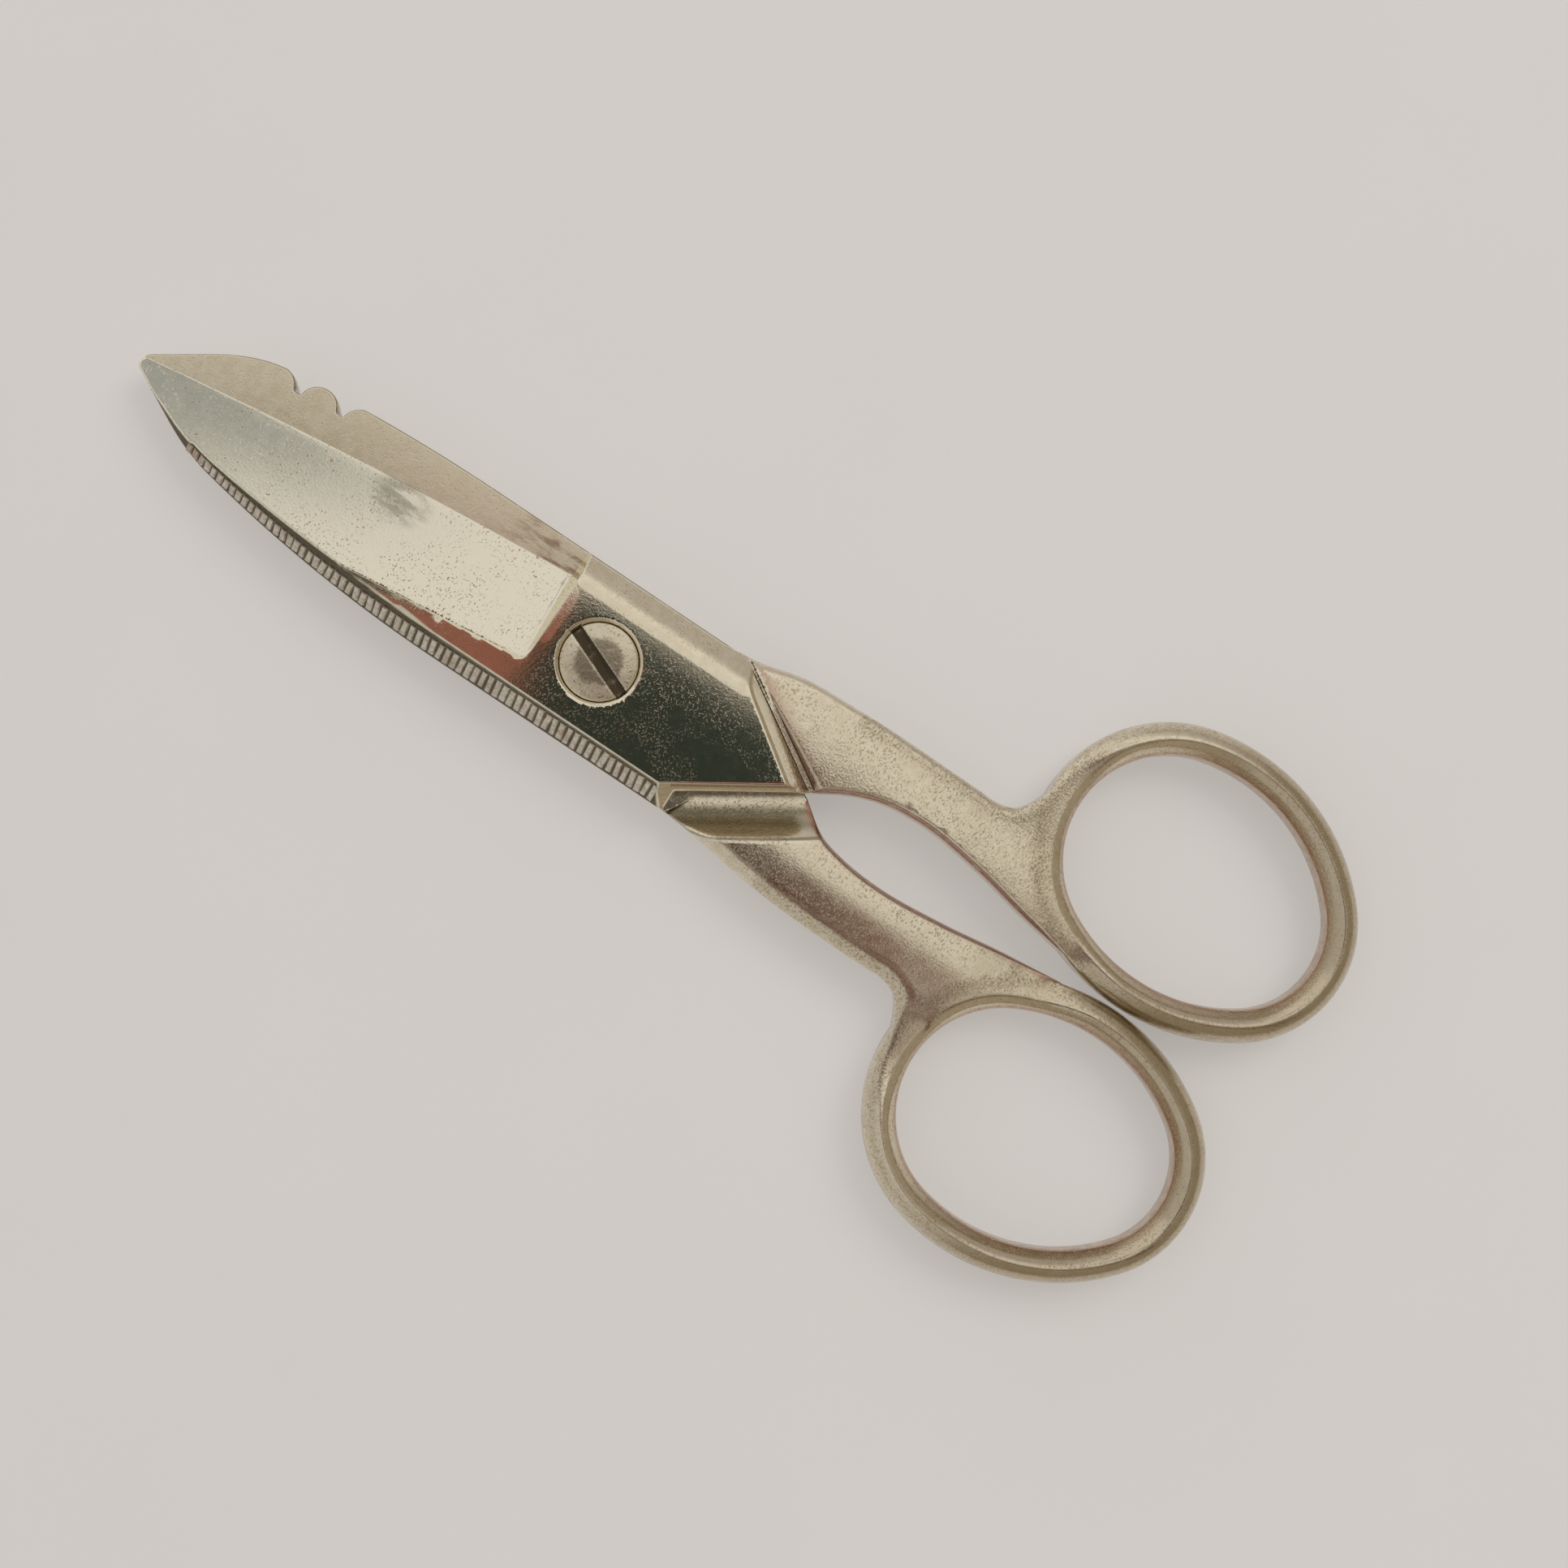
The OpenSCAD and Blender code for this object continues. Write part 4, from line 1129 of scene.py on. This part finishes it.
# %% [markdown]
# ## Floor
# The photograph is taken from almost straight above on a pale board. A plain sheet with a faint mottle is
# enough. Part of its brightness is its own glow, for the camera and for mirrors alone, so that it stays
# pale without more light on the metal, and the rest is lit, so that it keeps the soft shadow.

# %% Floor
HALF_W, GLOW_SHARE = 3, 0.45
BOARD = (0.86, 0.84, 0.825, 1), (0.885, 0.865, 0.85, 1)
BOARD_GLOW = (0.70, 0.675, 0.66, 1), (0.72, 0.695, 0.68, 1)


def pale_floor():
    """A mottled sheet at z = 0, lit in part and glowing in part where it is seen."""
    mesh = bpy.data.meshes.new("pale_floor")
    corners = [(HALF_W * x, HALF_W * y, 0) for x, y in ((-1, -1), (1, -1), (1, 1), (-1, 1))]
    mesh.from_pydata(corners, [], [(0, 1, 2, 3)])
    floor = bpy.data.objects.new("pale_floor", mesh)
    bpy.context.scene.collection.objects.link(floor)
    material, shader, where = start_finish("pale_board")
    tint = blend(noise(where, 30, 4, 0.6), *BOARD)
    join(tint, shader, "Base Color")
    shader.inputs["Roughness"].default_value = 0.85
    glow = blend(noise(where, 30, 4, 0.6), *BOARD_GLOW)
    lift = where.node("ShaderNodeEmission", {}, {"Color": glow})
    path = where.tree.nodes.new("ShaderNodeLightPath")
    seen = Wire(where.tree, path.outputs["Is Camera Ray"]) + Wire(where.tree, path.outputs["Is Glossy Ray"])
    mixed = seen.node("ShaderNodeMixShader", {},
                      {0: seen * GLOW_SHARE, 1: Wire(where.tree, shader.outputs[0]), 2: lift})
    join(mixed, where.tree.nodes["Material Output"], "Surface")
    mesh.materials.append(material)
    return floor


print("floor:", pale_floor().name)

# %% [markdown]
# ## The room that the metal mirrors
# Polished nickel has little colour of its own: it shows the room. A picture of a room would do, but a few
# painted cards are easier to place. Here the world is a pale room with a wide window on the side of the
# cutting edge, a dusky end behind the handles, and dark and red cards overhead. A card is a colour and the
# steps that bound it: x, y or z of the line of sight, from where it begins to where it is full.

# %% The painted room
HIGH = ("z", 0.3, 0.6)
OVERHEAD = (("y", -0.070, -0.058), HIGH)
WALLS, BACKDROP = (0.56, 0.54, 0.51, 1), (0.62, 0.60, 0.57, 1)
CARDS = {
    "bright side": ((0.78, 0.755, 0.715, 1), ("y", -0.060, -0.074)),
    "window": ((0.82, 0.79, 0.75, 1), ("y", -0.34, -0.46), ("y", -0.80, -0.70)),
    "low wall": ((0.50, 0.465, 0.44, 1), ("y", -0.62, -0.92)),
    "cool patch": ((0.32, 0.345, 0.345, 1), ("x", 0.265, 0.32), ("x", 0.48, 0.43), ("y", -0.57, -0.525),
                   ("y", -0.25, -0.4)),
    "dusky end": ((0.335, 0.29, 0.22, 1), ("x", -0.14, -0.32)),
    "warm card": ((0.17, 0.06, 0.042, 1), *OVERHEAD, ("y", 0.17, 0.13), ("x", -0.035, -0.05),
                  ("x", -0.15, -0.125)),
    "red strip": ((0.13, 0.055, 0.045, 1), HIGH, ("y", 0.19, 0.21), ("y", 0.36, 0.30), ("x", 0.1, 0)),
    "red card": ((0.30, 0.13, 0.10, 1), *OVERHEAD, ("y", 0.2, 0.1), ("x", 0.126, 0.131), ("x", 0.23, 0.205)),
    "dim card": ((0.20, 0.17, 0.12, 1), *OVERHEAD, ("y", 0.2, 0.1), ("x", 0.215, 0.235), ("x", 0.34, 0.28)),
    "dark card": ((0.035, 0.045, 0.038, 1), HIGH, ("y", -0.086, -0.059), ("y", 0.2, 0.14),
                  ("x", -0.055, -0.035), ("x", 0.133, 0.128)),
}
print("cards in the room:", ", ".join(CARDS))

# %% World
from functools import reduce
from operator import mul


def room_light():
    """A world whose colour in each direction is the walls with every card laid over them."""
    world = bpy.data.worlds.new("soft_room")
    bpy.context.scene.world = world
    world.use_nodes = True
    tree = world.node_tree
    look = Wire(tree, tree.nodes.new("ShaderNodeTexCoord").outputs["Generated"])
    parts = look.node("ShaderNodeSeparateXYZ", {}, {0: look})
    sight = dict(zip("xyz", (Wire(tree, socket) for socket in parts.socket.node.outputs)))
    light = WALLS
    for colour, *steps in CARDS.values():
        shares = (between(sight[axis], begins, full) for axis, begins, full in steps)
        light = blend(reduce(mul, shares), light, colour)
    plain = Wire(tree, tree.nodes.new("ShaderNodeLightPath").outputs["Is Camera Ray"])
    join(blend(plain, light, BACKDROP), tree.nodes["Background"], "Color")
    return len(tree.nodes)


print("world:", room_light(), "nodes")

# %% [markdown]
# ## Lamp and camera
# One wide lamp from the window's side gives the soft shadow. It is left out of reflections, because the
# painted room already shows a window. The camera stands where the photograph was taken from.

# %% Lamp
LAMP_AT, LAMP_SIZE, LAMP_WATTS = Vector((-0.25, -0.85, 0.9)), 0.7, 3.6


def soft_lamp():
    """A square lamp that looks at the pivot."""
    lamp = bpy.data.lights.new("window_lamp", "AREA")
    lamp.shape, lamp.size, lamp.size_y = "RECTANGLE", LAMP_SIZE, LAMP_SIZE
    lamp.energy = LAMP_WATTS
    lamp.color = (1.0, 0.97, 0.93)
    holder = bpy.data.objects.new("window_lamp", lamp)
    holder.visible_glossy = False
    holder.location = LAMP_AT
    holder.rotation_euler = (-LAMP_AT).to_track_quat("-Z", "Y").to_euler()
    bpy.context.scene.collection.objects.link(holder)


soft_lamp()
print("lamp:", LAMP_WATTS, "W,", LAMP_SIZE, "m wide")

# %% Camera
CAMERA_AT, FOCAL_PX, PHOTO_PX, SENSOR_W = (-19.39, 8.26, 197.56), 2400, 1932, 36
CAMERA_AXES = ((-0.831555, -0.554358, 0.034693), (-0.555302, 0.831127, -0.029472),
               (-0.012496, -0.043772, -0.998963))


def photo_camera():
    """The camera at its place, from its axes right, down and ahead."""
    data = bpy.data.cameras.new("photo_camera")
    data.sensor_width, data.lens = SENSOR_W, SENSOR_W * FOCAL_PX / PHOTO_PX
    data.clip_start = 0.01
    right, down, ahead = CAMERA_AXES
    turn = Matrix((right, [-v for v in down], [-v for v in ahead])).transposed()
    holder = bpy.data.objects.new("photo_camera", data)
    holder.matrix_world = Matrix.Translation(Vector(CAMERA_AT) * MM) @ turn.to_4x4()
    bpy.context.scene.collection.objects.link(holder)
    bpy.context.scene.camera = holder


photo_camera()
bpy.context.scene.view_settings.view_transform = "Standard"
print("camera at", CAMERA_AT, "mm")

# %% [markdown]
# ## Ride on the frame
# Each piece is tied to the CAD body that it moves with and takes the place of its solid.

# %% Tie the pieces to the bodies
for piece, body, node, slot in ((front, "front_half", "front_blade", "front_steel"),
                                (rear, "rear_half", "rear_blade", "rear_steel"),
                                (screw, "rear_half", "pivot_screw", "screw_steel")):
    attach(piece, body)
    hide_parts(node)
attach(teeth, "front_half")
print("riding:", ", ".join(piece.name for piece in (front, rear, screw, teeth)))
